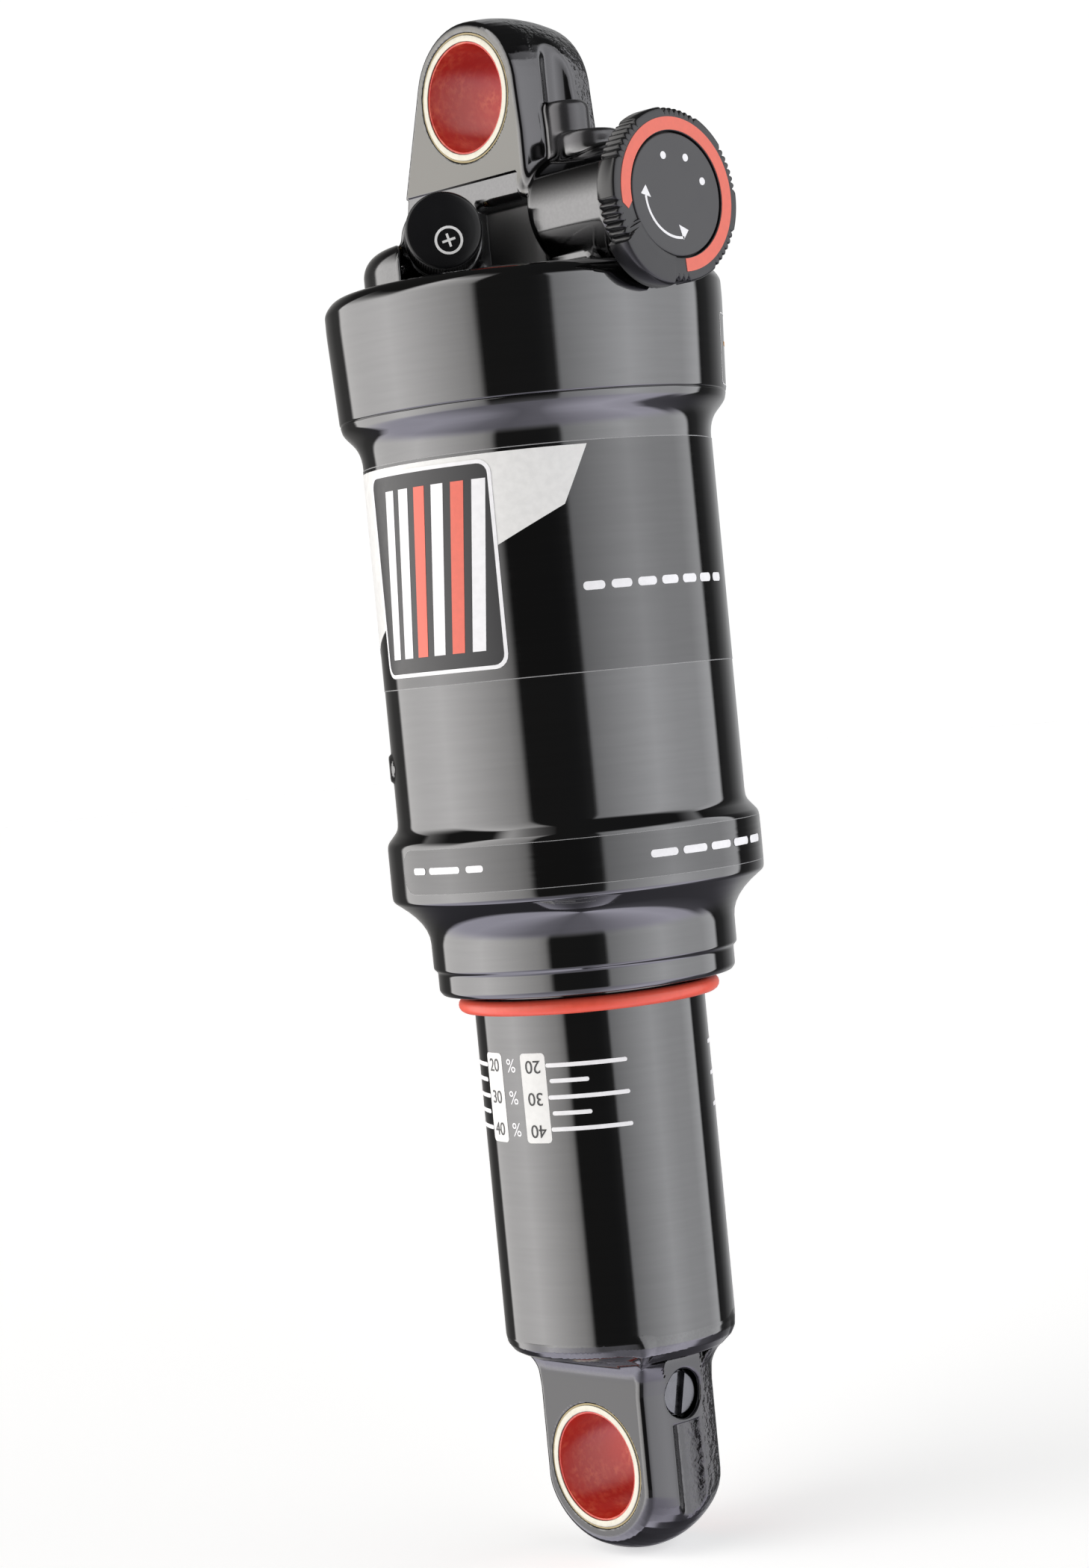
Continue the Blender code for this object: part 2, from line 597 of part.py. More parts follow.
def cam_clip(parent):
    """Snap ring in the boss that keeps the cam shaft from sliding out."""
    clip = ring("cam_retaining_ring", 2.5, 3.75, CLIP_X - 0.3, CLIP_X + 0.3, parent, 24,
                colour="steel")
    mouth = block("clip_mouth_cut", (-0.7, 0, CLIP_X - 2), (0.7, 6, CLIP_X + 2), parent)
    cut(clip, mouth)


def detent(fixed, moving):
    """Spring-loaded ball that clicks behind the knob."""
    coil("detent_spring", 0.68, 0.14, 18.8, 21.6, 3, fixed, colour="steel")
    ball("detent_ball", 0.75, 22.75, moving, colour="steel")


def metering_needle(parent):
    """Long needle in the shaft. Its domed top rides on the snail cam."""
    top = KNOB_Z - CAM_RADIUS - GAP
    needle = [(0, top), (0.9, top - 0.2), (1.45, top - 0.8), (1.5, 141.6), (1.1, 141.6)]
    needle += [(1.1, 140.0), (1.5, 140.0), (1.5, 66.5), (0.4, 63.6), (0, 63.6)]
    turned("rebound_needle", needle, parent, 12, closed=False, colour="bare_metal")
    o_ring("needle_oring", 1.52, 0.24, 140.8, parent, 12, colour="rubber")


# ---------------------------------------------------------------- air valve


def valve(parent, pin_parent):
    """Pump valve. Heights are distances outward along the valve axis."""
    stem = [(2.6, 14.3), (STEM_R - 0.3, 14.3), (STEM_R, 14.0), (STEM_R, 5.2), (3.1, 5.2)]
    stem += [(3.1, 3.4), (STEM_R, 3.4), (STEM_R, 0.0), (1.3, 0.0), (1.3, 1.2), (2.6, 1.2)]
    turned("valve_stem", stem, parent, 20, colour="brass")
    o_ring("valve_stem_oring", 3.62, 0.26, 4.3, parent, 20, colour="rubber")
    core = [(0.8, 12.6), (2.3, 12.6), (2.3, 4.2), (0.8, 4.2), (0.8, 5.0), (1.5, 5.0)]
    core += [(1.5, 11.6), (0.8, 11.6)]
    turned("valve_core", core, parent, 12, colour="brass")
    pin = [(0, 13.9), (0.5, 13.8), (0.5, 3.7), (1.7, 3.7), (1.7, 3.0), (0, 3.0)]
    turned("valve_pin", pin, pin_parent, 16, closed=False, colour="brass")
    coil("valve_spring", 1.08, 0.14, 5.4, 11.2, 4, parent, colour="steel")


def valve_cap(parent, seal_parent):
    outer, low, high, bore = 4.55, 8.0, CAP_FACE_STATION, STEM_R + GAP
    cap = [(0, high), (2.6, high - 0.08), (outer - 0.45, high - 0.25), (outer, high - 0.8)]
    cap += [(outer, low + 0.25), (outer - 0.25, low), (bore, low), (bore, 15.2), (0, 15.2)]
    turned("valve_cap", cap, parent, 24, closed=False, colour="black_plastic")
    ring("valve_cap_seal", 1.9, 3.5, 14.55, 14.95, seal_parent, 24, colour="rubber")


# ---------------------------------------------------------------- assembly


def build():
    middle_x = -(KNOB_TIP_X - COLLAR_R) / 2
    frame = axis_empty("shock_frame", (middle_x, 0, -FOOT_Z))

    damper_body(frame)
    bushing("lower", 0.0, frame)
    gas_fill(frame)
    seal_head(frame)
    floating_piston(axis_empty("ifp_slide_axis", parent=frame))
    travel_ring(axis_empty("sag_ring_axis", parent=frame))

    can_side = axis_empty("compression_axis", parent=frame)
    air_can(can_side)
    shaft_eyelet(can_side)
    bushing("upper", UPPER_Z, can_side)
    damper_shaft_group(can_side)

    knob_axis = axis_empty("knob_axis", (0, 0, KNOB_Z), SIDE_AXIS, can_side)
    rebound_adjuster(knob_axis)
    cam_clip(axis_empty("cam_clip_axis", (0, 0, KNOB_Z), SIDE_AXIS, can_side))
    ball_place = (0, 0, KNOB_Z + DETENT_R)
    spring_axis = axis_empty("detent_spring_axis", ball_place, SIDE_AXIS, can_side)
    ball_axis = axis_empty("detent_ball_axis", ball_place, SIDE_AXIS, can_side)
    detent(spring_axis, ball_axis)
    metering_needle(axis_empty("needle_axis", parent=can_side))

    valve_axis = axis_empty("valve_axis", valve_point(0), VALVE_AXIS, can_side)
    pin_axis = axis_empty("valve_pin_axis", valve_point(0), VALVE_AXIS, can_side)
    valve(valve_axis, pin_axis)
    lift_axis = axis_empty("cap_lift_axis", valve_point(0), VALVE_AXIS, can_side)
    turn_axis = axis_empty("cap_turn_axis", parent=lift_axis)
    valve_cap(turn_axis, lift_axis)


clear_scene()
PARTS = new_collection("rear_shock")
CUTTERS = new_collection("cutters")
build()
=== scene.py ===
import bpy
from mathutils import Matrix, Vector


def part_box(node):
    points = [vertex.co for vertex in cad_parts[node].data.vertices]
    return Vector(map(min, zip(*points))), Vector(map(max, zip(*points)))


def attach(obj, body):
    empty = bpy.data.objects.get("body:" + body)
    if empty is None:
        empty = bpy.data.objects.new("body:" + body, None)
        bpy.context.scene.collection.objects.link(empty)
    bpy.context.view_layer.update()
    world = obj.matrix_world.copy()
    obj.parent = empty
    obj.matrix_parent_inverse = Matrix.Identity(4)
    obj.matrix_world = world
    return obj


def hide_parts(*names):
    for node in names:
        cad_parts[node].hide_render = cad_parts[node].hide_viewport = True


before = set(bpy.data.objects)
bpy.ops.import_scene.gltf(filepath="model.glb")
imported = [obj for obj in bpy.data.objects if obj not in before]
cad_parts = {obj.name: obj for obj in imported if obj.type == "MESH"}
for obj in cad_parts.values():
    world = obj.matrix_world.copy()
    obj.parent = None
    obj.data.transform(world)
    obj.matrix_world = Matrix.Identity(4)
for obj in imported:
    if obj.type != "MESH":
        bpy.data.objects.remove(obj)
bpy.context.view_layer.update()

# Looks of a bicycle rear air shock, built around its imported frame.
#
# Shapes are worked out in millimetres from the centre of the lower eye, with the damper axis
# along +Z and the eyes' bores along Y, and are moved to the world frame when a mesh is made.

import math

import bmesh
import bpy
import numpy as np
from mathutils import Matrix, Vector

MM = 0.001
EYE_WIDTH = 12.7
HALF_EYE = EYE_WIDTH / 2
EYE_HOLE_R = 7.65
TUBE_R = 14.0
BARREL_R = 21.1
COLLAR_R = 22.6
KNOB_Z = 149.0
VIEW_AZIMUTH = 47.292  # of the camera, measured from -Y towards +X
FACING = VIEW_AZIMUTH - 90.0  # XY angle of the direction that faces the camera
VALVE_TURN = -40.0
CAP_FACE = (3.9, -15.1, 148.45)
CAP_FACE_STATION = 16.0
LENS = 77.15
CAMERA_PLACE = (297.33, -278.456, 94.447)


def middle(node):
    low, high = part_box(node)
    return (low + high) / 2


LOWER = middle("lower_bushing_shell")
UPPER_Z = (middle("upper_bushing_shell") - LOWER).z / MM


# ---------------------------------------------------------------- placing and meshes


class Axis:
    """A local frame: h runs along the axis, u and v across it (u right, v up, seen from +h)."""

    def __init__(self, origin, h, v):
        self.origin = np.array(origin, float)
        self.h = np.array(h, float)
        self.v = np.array(v, float)
        self.u = np.cross(self.v, self.h)

    def out(self, u, v, h):
        """Local coordinates as points in shock millimetres."""
        u, v, h = np.broadcast_arrays(u, v, h)
        return self.origin + u[..., None] * self.u + v[..., None] * self.v + h[..., None] * self.h


VALVE_DIRECTION = (math.cos(math.radians(VALVE_TURN)), math.sin(math.radians(VALVE_TURN)), 0)
UP = Axis((0, 0, 0), (0, 0, 1), (0, 1, 0))
LOWER_EYE = Axis((0, 0, 0), (0, -1, 0), (0, 0, 1))
UPPER_EYE = Axis((0, 0, UPPER_Z), (0, -1, 0), (0, 0, 1))
KNOB = Axis((0, 0, KNOB_Z), (1, 0, 0), (0, 0, 1))
PORT = Axis((0, 0, 8.4), (1, 0, 0), (0, 0, 1))
VALVE = Axis(np.array(CAP_FACE) - CAP_FACE_STATION * np.array(VALVE_DIRECTION),
             VALVE_DIRECTION, (0, 0, 1))


def to_world(points):
    return np.asarray(points, float) * MM + np.array(LOWER)


def piece(name, points, faces, material, body, stands_for=(), sharp=35):
    """A mesh object from points in shock millimetres, riding on a CAD body."""
    mesh = bpy.data.meshes.new(name)
    mesh.from_pydata(to_world(points).tolist(), [], faces)
    bm = bmesh.new()
    bm.from_mesh(mesh)
    bmesh.ops.remove_doubles(bm, verts=bm.verts, dist=2e-6)
    bmesh.ops.dissolve_degenerate(bm, dist=1e-7, edges=bm.edges)
    bmesh.ops.recalc_face_normals(bm, faces=bm.faces)
    bm.to_mesh(mesh)
    bm.free()
    mesh.shade_smooth()
    mesh.set_sharp_from_angle(angle=math.radians(sharp))
    obj = link(name, mesh, material, body, stands_for)
    weights = obj.modifiers.new("even_normals", "WEIGHTED_NORMAL")
    weights.keep_sharp = True
    return obj


def link(name, mesh, material, body, stands_for=()):
    obj = bpy.data.objects.new(name, mesh)
    bpy.context.scene.collection.objects.link(obj)
    mesh.materials.append(material)
    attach(obj, body)
    if stands_for:
        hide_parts(*stands_for)
    return obj


def rounded(corners, steps=6):
    """Points through (x, y, reach) corners, each rounded over its reach along both legs.

    A reach may be a pair, for the leg before and the leg after; 0 leaves the corner sharp.
    """
    points = []
    count = len(corners)
    for i, (x, y, reach) in enumerate(corners):
        if not reach:
            points.append((x, y))
            continue
        before, after = reach if isinstance(reach, tuple) else (reach, reach)
        corner = np.array((x, y))
        ends = []
        for other, length in ((corners[i - 1], before), (corners[(i + 1) % count], after)):
            leg = np.array(other[:2]) - corner
            ends.append(corner + leg / np.linalg.norm(leg) * length)
        for step in range(steps + 1):
            t = step / steps
            bent = (1 - t) ** 2 * ends[0] + 2 * t * (1 - t) * corner + t * t * ends[1]
            points.append(tuple(bent))
    return points


def turned(name, profile, axis, segments, material, body, stands_for=(), slot=None,
           closed=True, shape=None, sharp=35):
    """A turned piece from (radius, height) points. shape(angle, radius, height) may bend it."""
    profile = np.array(profile, float)
    angle = np.linspace(0, 2 * math.pi, segments, endpoint=False)
    radius = np.repeat(profile[:, :1], segments, 1)
    height = np.repeat(profile[:, 1:], segments, 1)
    turn = np.broadcast_to(angle, radius.shape)
    if shape:
        radius, height = shape(turn, radius, height)
    points = axis.out(radius * np.cos(turn), radius * np.sin(turn), height).reshape(-1, 3)
    faces = []
    rows = len(profile)
    for row in range(rows if closed else rows - 1):
        a, b = row * segments, (row + 1) % rows * segments
        for i in range(segments):
            j = (i + 1) % segments
            faces.append((a + i, a + j, b + j, b + i))
    return piece(name, points, faces, material, body, stands_for, sharp)


# ---------------------------------------------------------------- solids from distances


def smooth_min(a, b, k):
    blend = np.clip(0.5 + 0.5 * (b - a) / k, 0, 1)
    return b + (a - b) * blend - k * blend * (1 - blend)


def smooth_max(a, b, k):
    return -smooth_min(-a, -b, k)


def join(first, *others, k=1.0):
    for other in others:
        first = smooth_min(first, other, k)
    return first


def within(first, *others, k=0.5):
    for other in others:
        first = smooth_max(first, other, k)
    return first


def fade(value, start, end):
    """0 before start, 1 after end, smooth between; start may be above end."""
    t = np.clip((value - start) / (end - start), 0, 1)
    return t * t * (3 - 2 * t)


def outline_distance(points, x, y):
    """Signed distance from a closed 2D outline, negative inside."""
    nearest = None
    inside = None
    for (ax, ay), (bx, by) in zip(points, points[1:] + points[:1]):
        ex, ey = bx - ax, by - ay
        t = np.clip(((x - ax) * ex + (y - ay) * ey) / (ex * ex + ey * ey), 0, 1)
        square = (x - ax - ex * t) ** 2 + (y - ay - ey * t) ** 2
        crosses = (ay > y) != (by > y)
        crosses = crosses & (x < ax + (y - ay) * ex / (ey if ey else 1e-9))
        nearest = square if nearest is None else np.minimum(nearest, square)
        inside = crosses if inside is None else inside ^ crosses
    return np.where(inside, -1, 1) * np.sqrt(nearest)


def arc(centre, radius, start, end, count):
    angles = np.radians(np.linspace(start, end, count + 1))
    return [(centre[0] + radius * math.cos(a), centre[1] + radius * math.sin(a)) for a in angles]


def surface_net(distance, low, high, step):
    """Quads on the zero level of distance(x, y, z), as points, faces and unit normals."""
    axes = [np.arange(a, b + step, step) for a, b in zip(low, high)]
    x, y, z = axes[0][:, None, None], axes[1][None, :, None], axes[2][None, None, :]
    grid = np.ascontiguousarray(np.broadcast_to(distance(x, y, z), [len(a) for a in axes]))
    inside = grid < 0
    cells = [n - 1 for n in grid.shape]

    def corner(array, i, j, k):
        return array[i:i + cells[0], j:j + cells[1], k:k + cells[2]]

    corners = [(i, j, k) for i in (0, 1) for j in (0, 1) for k in (0, 1)]
    count = sum(corner(inside, *c).astype(np.int8) for c in corners)
    active = (count > 0) & (count < 8)
    index = np.full(cells, -1, np.int64)
    index[active] = np.arange(active.sum())
    total = np.zeros((active.sum(), 3))
    hits = np.zeros(active.sum())
    for c in corners:
        for axis in range(3):
            if c[axis]:
                continue
            other = list(c)
            other[axis] = 1
            near, far = corner(grid, *c)[active], corner(grid, *other)[active]
            crossing = (near < 0) != (far < 0)
            part = near / np.where(crossing, near - far, 1)
            spot = np.tile(np.array(c, float), (len(near), 1))
            spot[:, axis] = part
            total += np.where(crossing[:, None], spot, 0)
            hits += crossing
    base = np.argwhere(active)
    points = np.array(low) + (base + total / hits[:, None]) * step
    quads = []
    for axis in range(3):
        b, c = (axis + 1) % 3, (axis + 2) % 3
        near = [slice(1, -1)] * 3
        far = [slice(1, -1)] * 3
        near[axis], far[axis] = slice(0, -1), slice(1, None)
        change = inside[tuple(near)] != inside[tuple(far)]
        where = np.argwhere(change)
        where[:, b] += 1
        where[:, c] += 1
        flip = inside[tuple(near)][change]
        ring = []
        for db, dc in ((0, 0), (-1, 0), (-1, -1), (0, -1)):
            cell = where.copy()
            cell[:, b] += db
            cell[:, c] += dc
            ring.append(index[cell[:, 0], cell[:, 1], cell[:, 2]])
        ring = np.stack(ring, 1)
        ring[~flip] = ring[~flip][:, ::-1]
        quads.append(ring)
    quads = np.concatenate(quads)
    quads = quads[(quads >= 0).all(1)]

    def slope(p):
        gap = 0.02
        columns = []
        for axis in range(3):
            ahead, behind = p.copy(), p.copy()
            ahead[:, axis] += gap
            behind[:, axis] -= gap
            columns.append((distance(*ahead.T) - distance(*behind.T)) / (2 * gap))
        return np.stack(columns, 1)

    for _ in range(3):
        gradient = slope(points)
        length = np.maximum((gradient ** 2).sum(1), 0.2)
        points = points - np.clip(distance(*points.T) / length, -step, step)[:, None] * gradient
    gradient = slope(points)
    normals = gradient / np.maximum(np.linalg.norm(gradient, axis=1), 1e-9)[:, None]
    return points, quads, normals


def forging(name, distance, low, high, material, body, stands_for, masks):
    """A piece from a distance function. masks(points, normals) gives named shader values."""
    step = 0.28
    points, quads, normals = surface_net(distance, low, high, step)
    mesh = bpy.data.meshes.new(name)
    mesh.from_pydata(to_world(points).tolist(), [], quads.tolist())
    mesh.shade_smooth()
    mesh.normals_split_custom_set_from_vertices(normals.tolist())
    for key, values in masks(points, normals).items():
        layer = mesh.attributes.new(key, "FLOAT", "POINT")
        layer.data.foreach_set("value", np.asarray(values, np.float32))
    return link(name, mesh, material, body, stands_for)


# ---------------------------------------------------------------- materials


class Finish:
    """A procedural material, with helpers to add its nodes."""

    def __init__(self, name, base, rough, metal=0.0, coat=0.0):
        self.material = bpy.data.materials.new(name)
        self.material.use_nodes = True
        self.tree = self.material.node_tree
        self.shader = self.tree.nodes["Principled BSDF"]
        self.base = self.rgb(base)
        self.rough = rough
        self.set("Base Color", self.base)
        self.set("Roughness", rough)
        self.set("Metallic", metal)
        self.set("Coat Weight", coat)
        self.set("Coat Roughness", 0.06)

    @staticmethod
    def rgb(colour):
        return (*colour, 1.0)

    def set(self, key, value):
        self.wire(value, self.shader.inputs[key])

    def node(self, kind, **settings):
        node = self.tree.nodes.new(kind)
        inputs = settings.pop("inputs", {})
        for key, value in settings.items():
            setattr(node, key, value)
        for key, value in inputs.items():
            self.wire(value, node.inputs[key])
        return node

    def noise(self, scale, stretch=(1, 1, 1), detail=3.0, low=0.35, high=0.65):
        """Noise of the object's place, scale in features per millimetre, spread over 0 to 1."""
        place = self.node("ShaderNodeTexCoord").outputs["Object"]
        size = [scale * s / MM for s in stretch]
        mapping = self.node("ShaderNodeMapping", inputs={"Vector": place, "Scale": size})
        noise = self.node("ShaderNodeTexNoise", inputs={
            "Vector": mapping.outputs[0], "Scale": 1.0, "Detail": detail})
        spread = self.node("ShaderNodeMapRange", inputs={
            "Value": noise.outputs["Fac"], "From Min": low, "From Max": high})
        return spread.outputs["Result"]

    def between(self, factor, low, high):
        node = self.node("ShaderNodeMapRange", inputs={
            "Value": factor, "To Min": low, "To Max": high})
        return node.outputs["Result"]

    def mix(self, factor, first, second):
        node = self.node("ShaderNodeMix", data_type="RGBA")
        self.wire(factor, node.inputs[0])
        self.wire(first, node.inputs[6])
        self.wire(second, node.inputs[7])
        return node.outputs[2]

    def wire(self, value, socket):
        if isinstance(value, bpy.types.NodeSocket):
            self.tree.links.new(value, socket)
        else:
            socket.default_value = value

    def attribute(self, name):
        return self.node("ShaderNodeAttribute", attribute_name=name).outputs["Fac"]

    def multiply(self, first, second):
        node = self.node("ShaderNodeMath", operation="MULTIPLY")
        self.wire(first, node.inputs[0])
        self.wire(second, node.inputs[1])
        return node.outputs[0]

    def bump(self, height, depth, strength=1.0):
        """Bump from a 0 to 1 height, depth in millimetres."""
        node = self.node("ShaderNodeBump", inputs={"Height": height, "Distance": depth * MM})
        self.wire(strength, node.inputs["Strength"])
        self.set("Normal", node.outputs[0])

    def vary(self, shade=0.06, rough=0.15, scale=0.5, stretch=(1, 1, 1), depth=0.0):
        """Break up the colour and roughness, and the surface if depth is given."""
        pattern = self.noise(scale, stretch)
        dark = self.rgb([c * (1 - shade) for c in self.base[:3]])
        light = self.rgb([min(1.0, c * (1 + shade)) for c in self.base[:3]])
        self.set("Base Color", self.mix(pattern, dark, light))
        span = self.between(pattern, self.rough * (1 - rough), self.rough * (1 + rough))
        self.set("Roughness", span)
        if depth:
            self.bump(pattern, depth)
        return self


TURN_LINES = (0.06, 0.06, 1.0)  # streaks that run round a part turned on the Z axis


def anodised(name, base=0.16, rough=0.045, tint=(1.0, 1.0, 1.02)):
    """Gloss black anodised aluminium with faint turned lines."""
    finish = Finish(name, [base * c for c in tint], rough, 1.0)
    return finish.vary(0.02, 0.25, 1.6, TURN_LINES, 0.00002).material


def forged_black(name, satin_base, tint, satin_rough=0.36):
    """Black anodising: glossy where machined, matte where forged, satin on the eye faces,
    darkened by painted shade in crevices.
    """
    finish = Finish(name, (0.16, 0.16, 0.163), 0.13, 1.0)
    satin, forged = finish.attribute("satin"), finish.attribute("forged")
    soft = finish.attribute("soft")
    fine = finish.noise(3.0, detail=2.0)
    gloss = finish.mix(fine, (0.155, 0.155, 0.158, 1), (0.165, 0.165, 0.168, 1))
    # This attribute darkens the base colour: partly a darker skin tone, partly painted shade in
    # crevices and under overhangs.
    shaded_gloss = finish.mix(finish.attribute("dull"), gloss, (0.105, 0.104, 0.109, 1))
    face = [satin_base * c for c in tint] + [1]
    finish.set("Base Color", finish.mix(satin, shaded_gloss, face))
    skin = finish.mix(forged, (0.10, 0.10, 0.10, 1), (0.20, 0.20, 0.20, 1))
    skin = finish.mix(soft, skin, (0.40, 0.40, 0.40, 1))
    finish.set("Metallic", finish.between(soft, 1.0, 0.55))
    rough = finish.mix(satin, skin, (satin_rough, satin_rough, satin_rough, 1))
    finish.set("Roughness", rough)
    pebbles = finish.noise(1.3, detail=2.0, low=0.3, high=0.7)
    finish.bump(pebbles, 0.07, forged)
    return finish.material


def painted(name, colour, rough=0.45):
    return Finish(name, colour, rough).vary(0.03, 0.1, 1.2).material


def metal(name, colour, rough, scale=1.0, shade=0.06):
    return Finish(name, colour, rough, 1.0).vary(shade, 0.25, scale, (1, 1, 1), 0.001).material


def red_liner(name):
    """The bush's sliding layer: dark red with pale wear spots."""
    finish = Finish(name, (0.40, 0.04, 0.02), 0.34, coat=0.6)
    finish.set("Coat Roughness", 0.3)
    finish.set("Coat Tint", (1.0, 0.66, 0.55, 1))
    speck = finish.noise(1.4, detail=4.0, low=0.42, high=0.66)
    cloud = finish.noise(0.28, detail=2.0, low=0.35, high=0.7)
    worn = finish.multiply(speck, cloud)
    finish.set("Base Color", finish.mix(worn, (0.60, 0.020, 0.008, 1), (0.80, 0.20, 0.11, 1)))
    finish.bump(speck, 0.01)
    return finish.material


BLACK = anodised("can_anodised")
TUBE_BLACK = anodised("tube_anodised", 0.15)
HEAD_BLACK = forged_black("head_forged", 0.16, (1.0, 0.985, 0.94))
EYE_BLACK = forged_black("eyelet_forged", 0.085, (1.0, 1.0, 1.03))
BUSH_STEEL = metal("bush_steel", (0.43, 0.415, 0.36), 0.36, 1.5, 0.12)
BUSH_EDGE = metal("bush_edge_bronze", (0.24, 0.20, 0.12), 0.35)
BUSH_RED = red_liner("bush_liner_red")
RING_CORAL = painted("ring_coral", (0.86, 0.11, 0.065), 0.34)
KNOB_BLACK = Finish("knob_plastic", (0.012, 0.012, 0.013), 0.17).vary(0.05, 0.1, 0.4).material
KNOB_RING = Finish("knob_ring_satin", (0.042, 0.042, 0.045), 0.42).vary(0.04, 0.1, 0.4).material
KNOB_FACE = Finish("knob_satin", (0.062, 0.062, 0.065), 0.45).vary(0.04, 0.1, 0.4).material
CAP_BLACK = Finish("cap_plastic", (0.008, 0.008, 0.009), 0.2).vary(0.04, 0.08, 0.3).material
# A lighter, rougher copy of the cap plastic for the skirt: the lighter colour is painted light on
# the ridges.
CAP_SKIRT_PAINTED_LIGHT = Finish("cap_skirt_painted_light", (0.09, 0.09, 0.093), 0.45).vary(0.05, 0.1, 0.5).material
PRINT_WHITE = painted("print_white", (0.95, 0.95, 0.95))
PRINT_GREY = painted("print_grey", (0.85, 0.85, 0.82), 0.4)
PRINT_CORAL = painted("print_coral", (0.86, 0.17, 0.115), 0.4)
PRINT_DARK = painted("print_dark", (0.03, 0.03, 0.032), 0.35)
PRINT_AMBER = painted("print_amber", (0.80, 0.36, 0.03), 0.4)
FILM = anodised("film_clear", 0.125, 0.06)
# Lighter grey for the film's edges: a painted highlight where the edge catches light.
FILM_EDGE_HIGHLIGHT = Finish("film_edge_highlight", (0.30, 0.30, 0.30), 0.35).vary(0.05, 0.1, 1.0).material
SCREW_DARK = metal("screw_dark", (0.16, 0.16, 0.175), 0.28)


# ---------------------------------------------------------------- prints


def flat_shape(outlines, thickness):
    """A thin closed bmesh, in mm, from flat outlines; an outline inside another is a hole."""
    curve = bpy.data.curves.new("print", "CURVE")
    curve.dimensions = "2D"
    curve.fill_mode = "BOTH"
    curve.extrude = thickness / 2
    for outline in outlines:
        spline = curve.splines.new("POLY")
        spline.points.add(len(outline) - 1)
        for point, (x, y) in zip(spline.points, outline):
            point.co = (x, y, 0, 1)
        spline.use_cyclic_u = True
    return bmesh_from(curve)


def flat_text(text, size, thickness, turn=0.0):
    """Text as a thin closed bmesh centred on the origin, in mm, turned in degrees."""
    curve = bpy.data.curves.new("numeral", "FONT")
    curve.body = text
    curve.size = size
    curve.align_x = "CENTER"
    curve.align_y = "CENTER"
    curve.extrude = thickness / 2
    bm = bmesh_from(curve)
    bmesh.ops.rotate(bm, verts=bm.verts, matrix=Matrix.Rotation(math.radians(turn), 3, "Z"))
    return bm


def bmesh_from(curve):
    holder = bpy.data.objects.new("print_curve", curve)
    bpy.context.scene.collection.objects.link(holder)
    graph = bpy.context.evaluated_depsgraph_get()
    mesh = bpy.data.meshes.new_from_object(holder.evaluated_get(graph))
    bpy.data.objects.remove(holder, do_unlink=True)
    bpy.data.curves.remove(curve)
    bm = bmesh.new()
    bm.from_mesh(mesh)
    bpy.data.meshes.remove(mesh)
    bmesh.ops.remove_doubles(bm, verts=bm.verts, dist=1e-4)
    return bm


def wrap(name, shapes, radius, lift, material, body, slot):
    """Lay flat shapes on a round wall about Z. Shapes are (bmesh, angle, height) at their origin.

    Angles are in degrees from the direction that faces the camera. The wall's radius is a number,
    or a function of the height where the wall is a cone.
    """
    wall = radius if callable(radius) else lambda height: radius
    points, faces = [], []
    for bm, angle, height in shapes:
        xs = [vert.co.x for vert in bm.verts]
        for cut in np.arange(math.ceil(min(xs)), max(xs), 1.0):
            everything = list(bm.verts) + list(bm.edges) + list(bm.faces)
            bmesh.ops.bisect_plane(bm, geom=everything, plane_co=(cut, 0, 0), plane_no=(1, 0, 0))
        bmesh.ops.triangulate(bm, faces=bm.faces)
        start = len(points)
        for index, vert in enumerate(bm.verts):
            vert.index = index
            turn = math.radians(angle + FACING) + vert.co.x / wall(height)
            reach = wall(height + vert.co.y) + lift + vert.co.z
            points.append((reach * math.cos(turn), reach * math.sin(turn), height + vert.co.y))
        faces += [tuple(start + vert.index for vert in face.verts) for face in bm.faces]
        bm.free()
    return piece(name, points, faces, material, body, sharp=30)


def lay(name, shapes, axis, height, material, body, slot):
    """Lay flat shapes, as (bmesh, u, v), on a plane across an axis."""
    points, faces = [], []
    for bm, u, v in shapes:
        start = len(points)
        bmesh.ops.triangulate(bm, faces=bm.faces)
        for index, vert in enumerate(bm.verts):
            vert.index = index
            points.append(axis.out(vert.co.x + u, vert.co.y + v, vert.co.z + height))
        faces += [tuple(start + vert.index for vert in face.verts) for face in bm.faces]
        bm.free()
    return piece(name, points, faces, material, body, sharp=30)


def box_outline(x0, y0, x1, y1, r=0.0, steps=5):
    """A rectangle with rounded corners, anticlockwise."""
    if not r:
        return [(x0, y0), (x1, y0), (x1, y1), (x0, y1)]
    points = []
    for cx, cy, start in ((x1 - r, y0 + r, 270), (x1 - r, y1 - r, 0), (x0 + r, y1 - r, 90),
                          (x0 + r, y0 + r, 180)):
        points += arc((cx, cy), r, start, start + 90, steps)
    return points


def band_outline(inner, outer, start, end, steps):
    """A curved band between two radii."""
    return arc((0, 0), outer, start, end, steps) + arc((0, 0), inner, end, start, steps)


THIN = 0.03  # thickness of a print


# ---------------------------------------------------------------- damper side


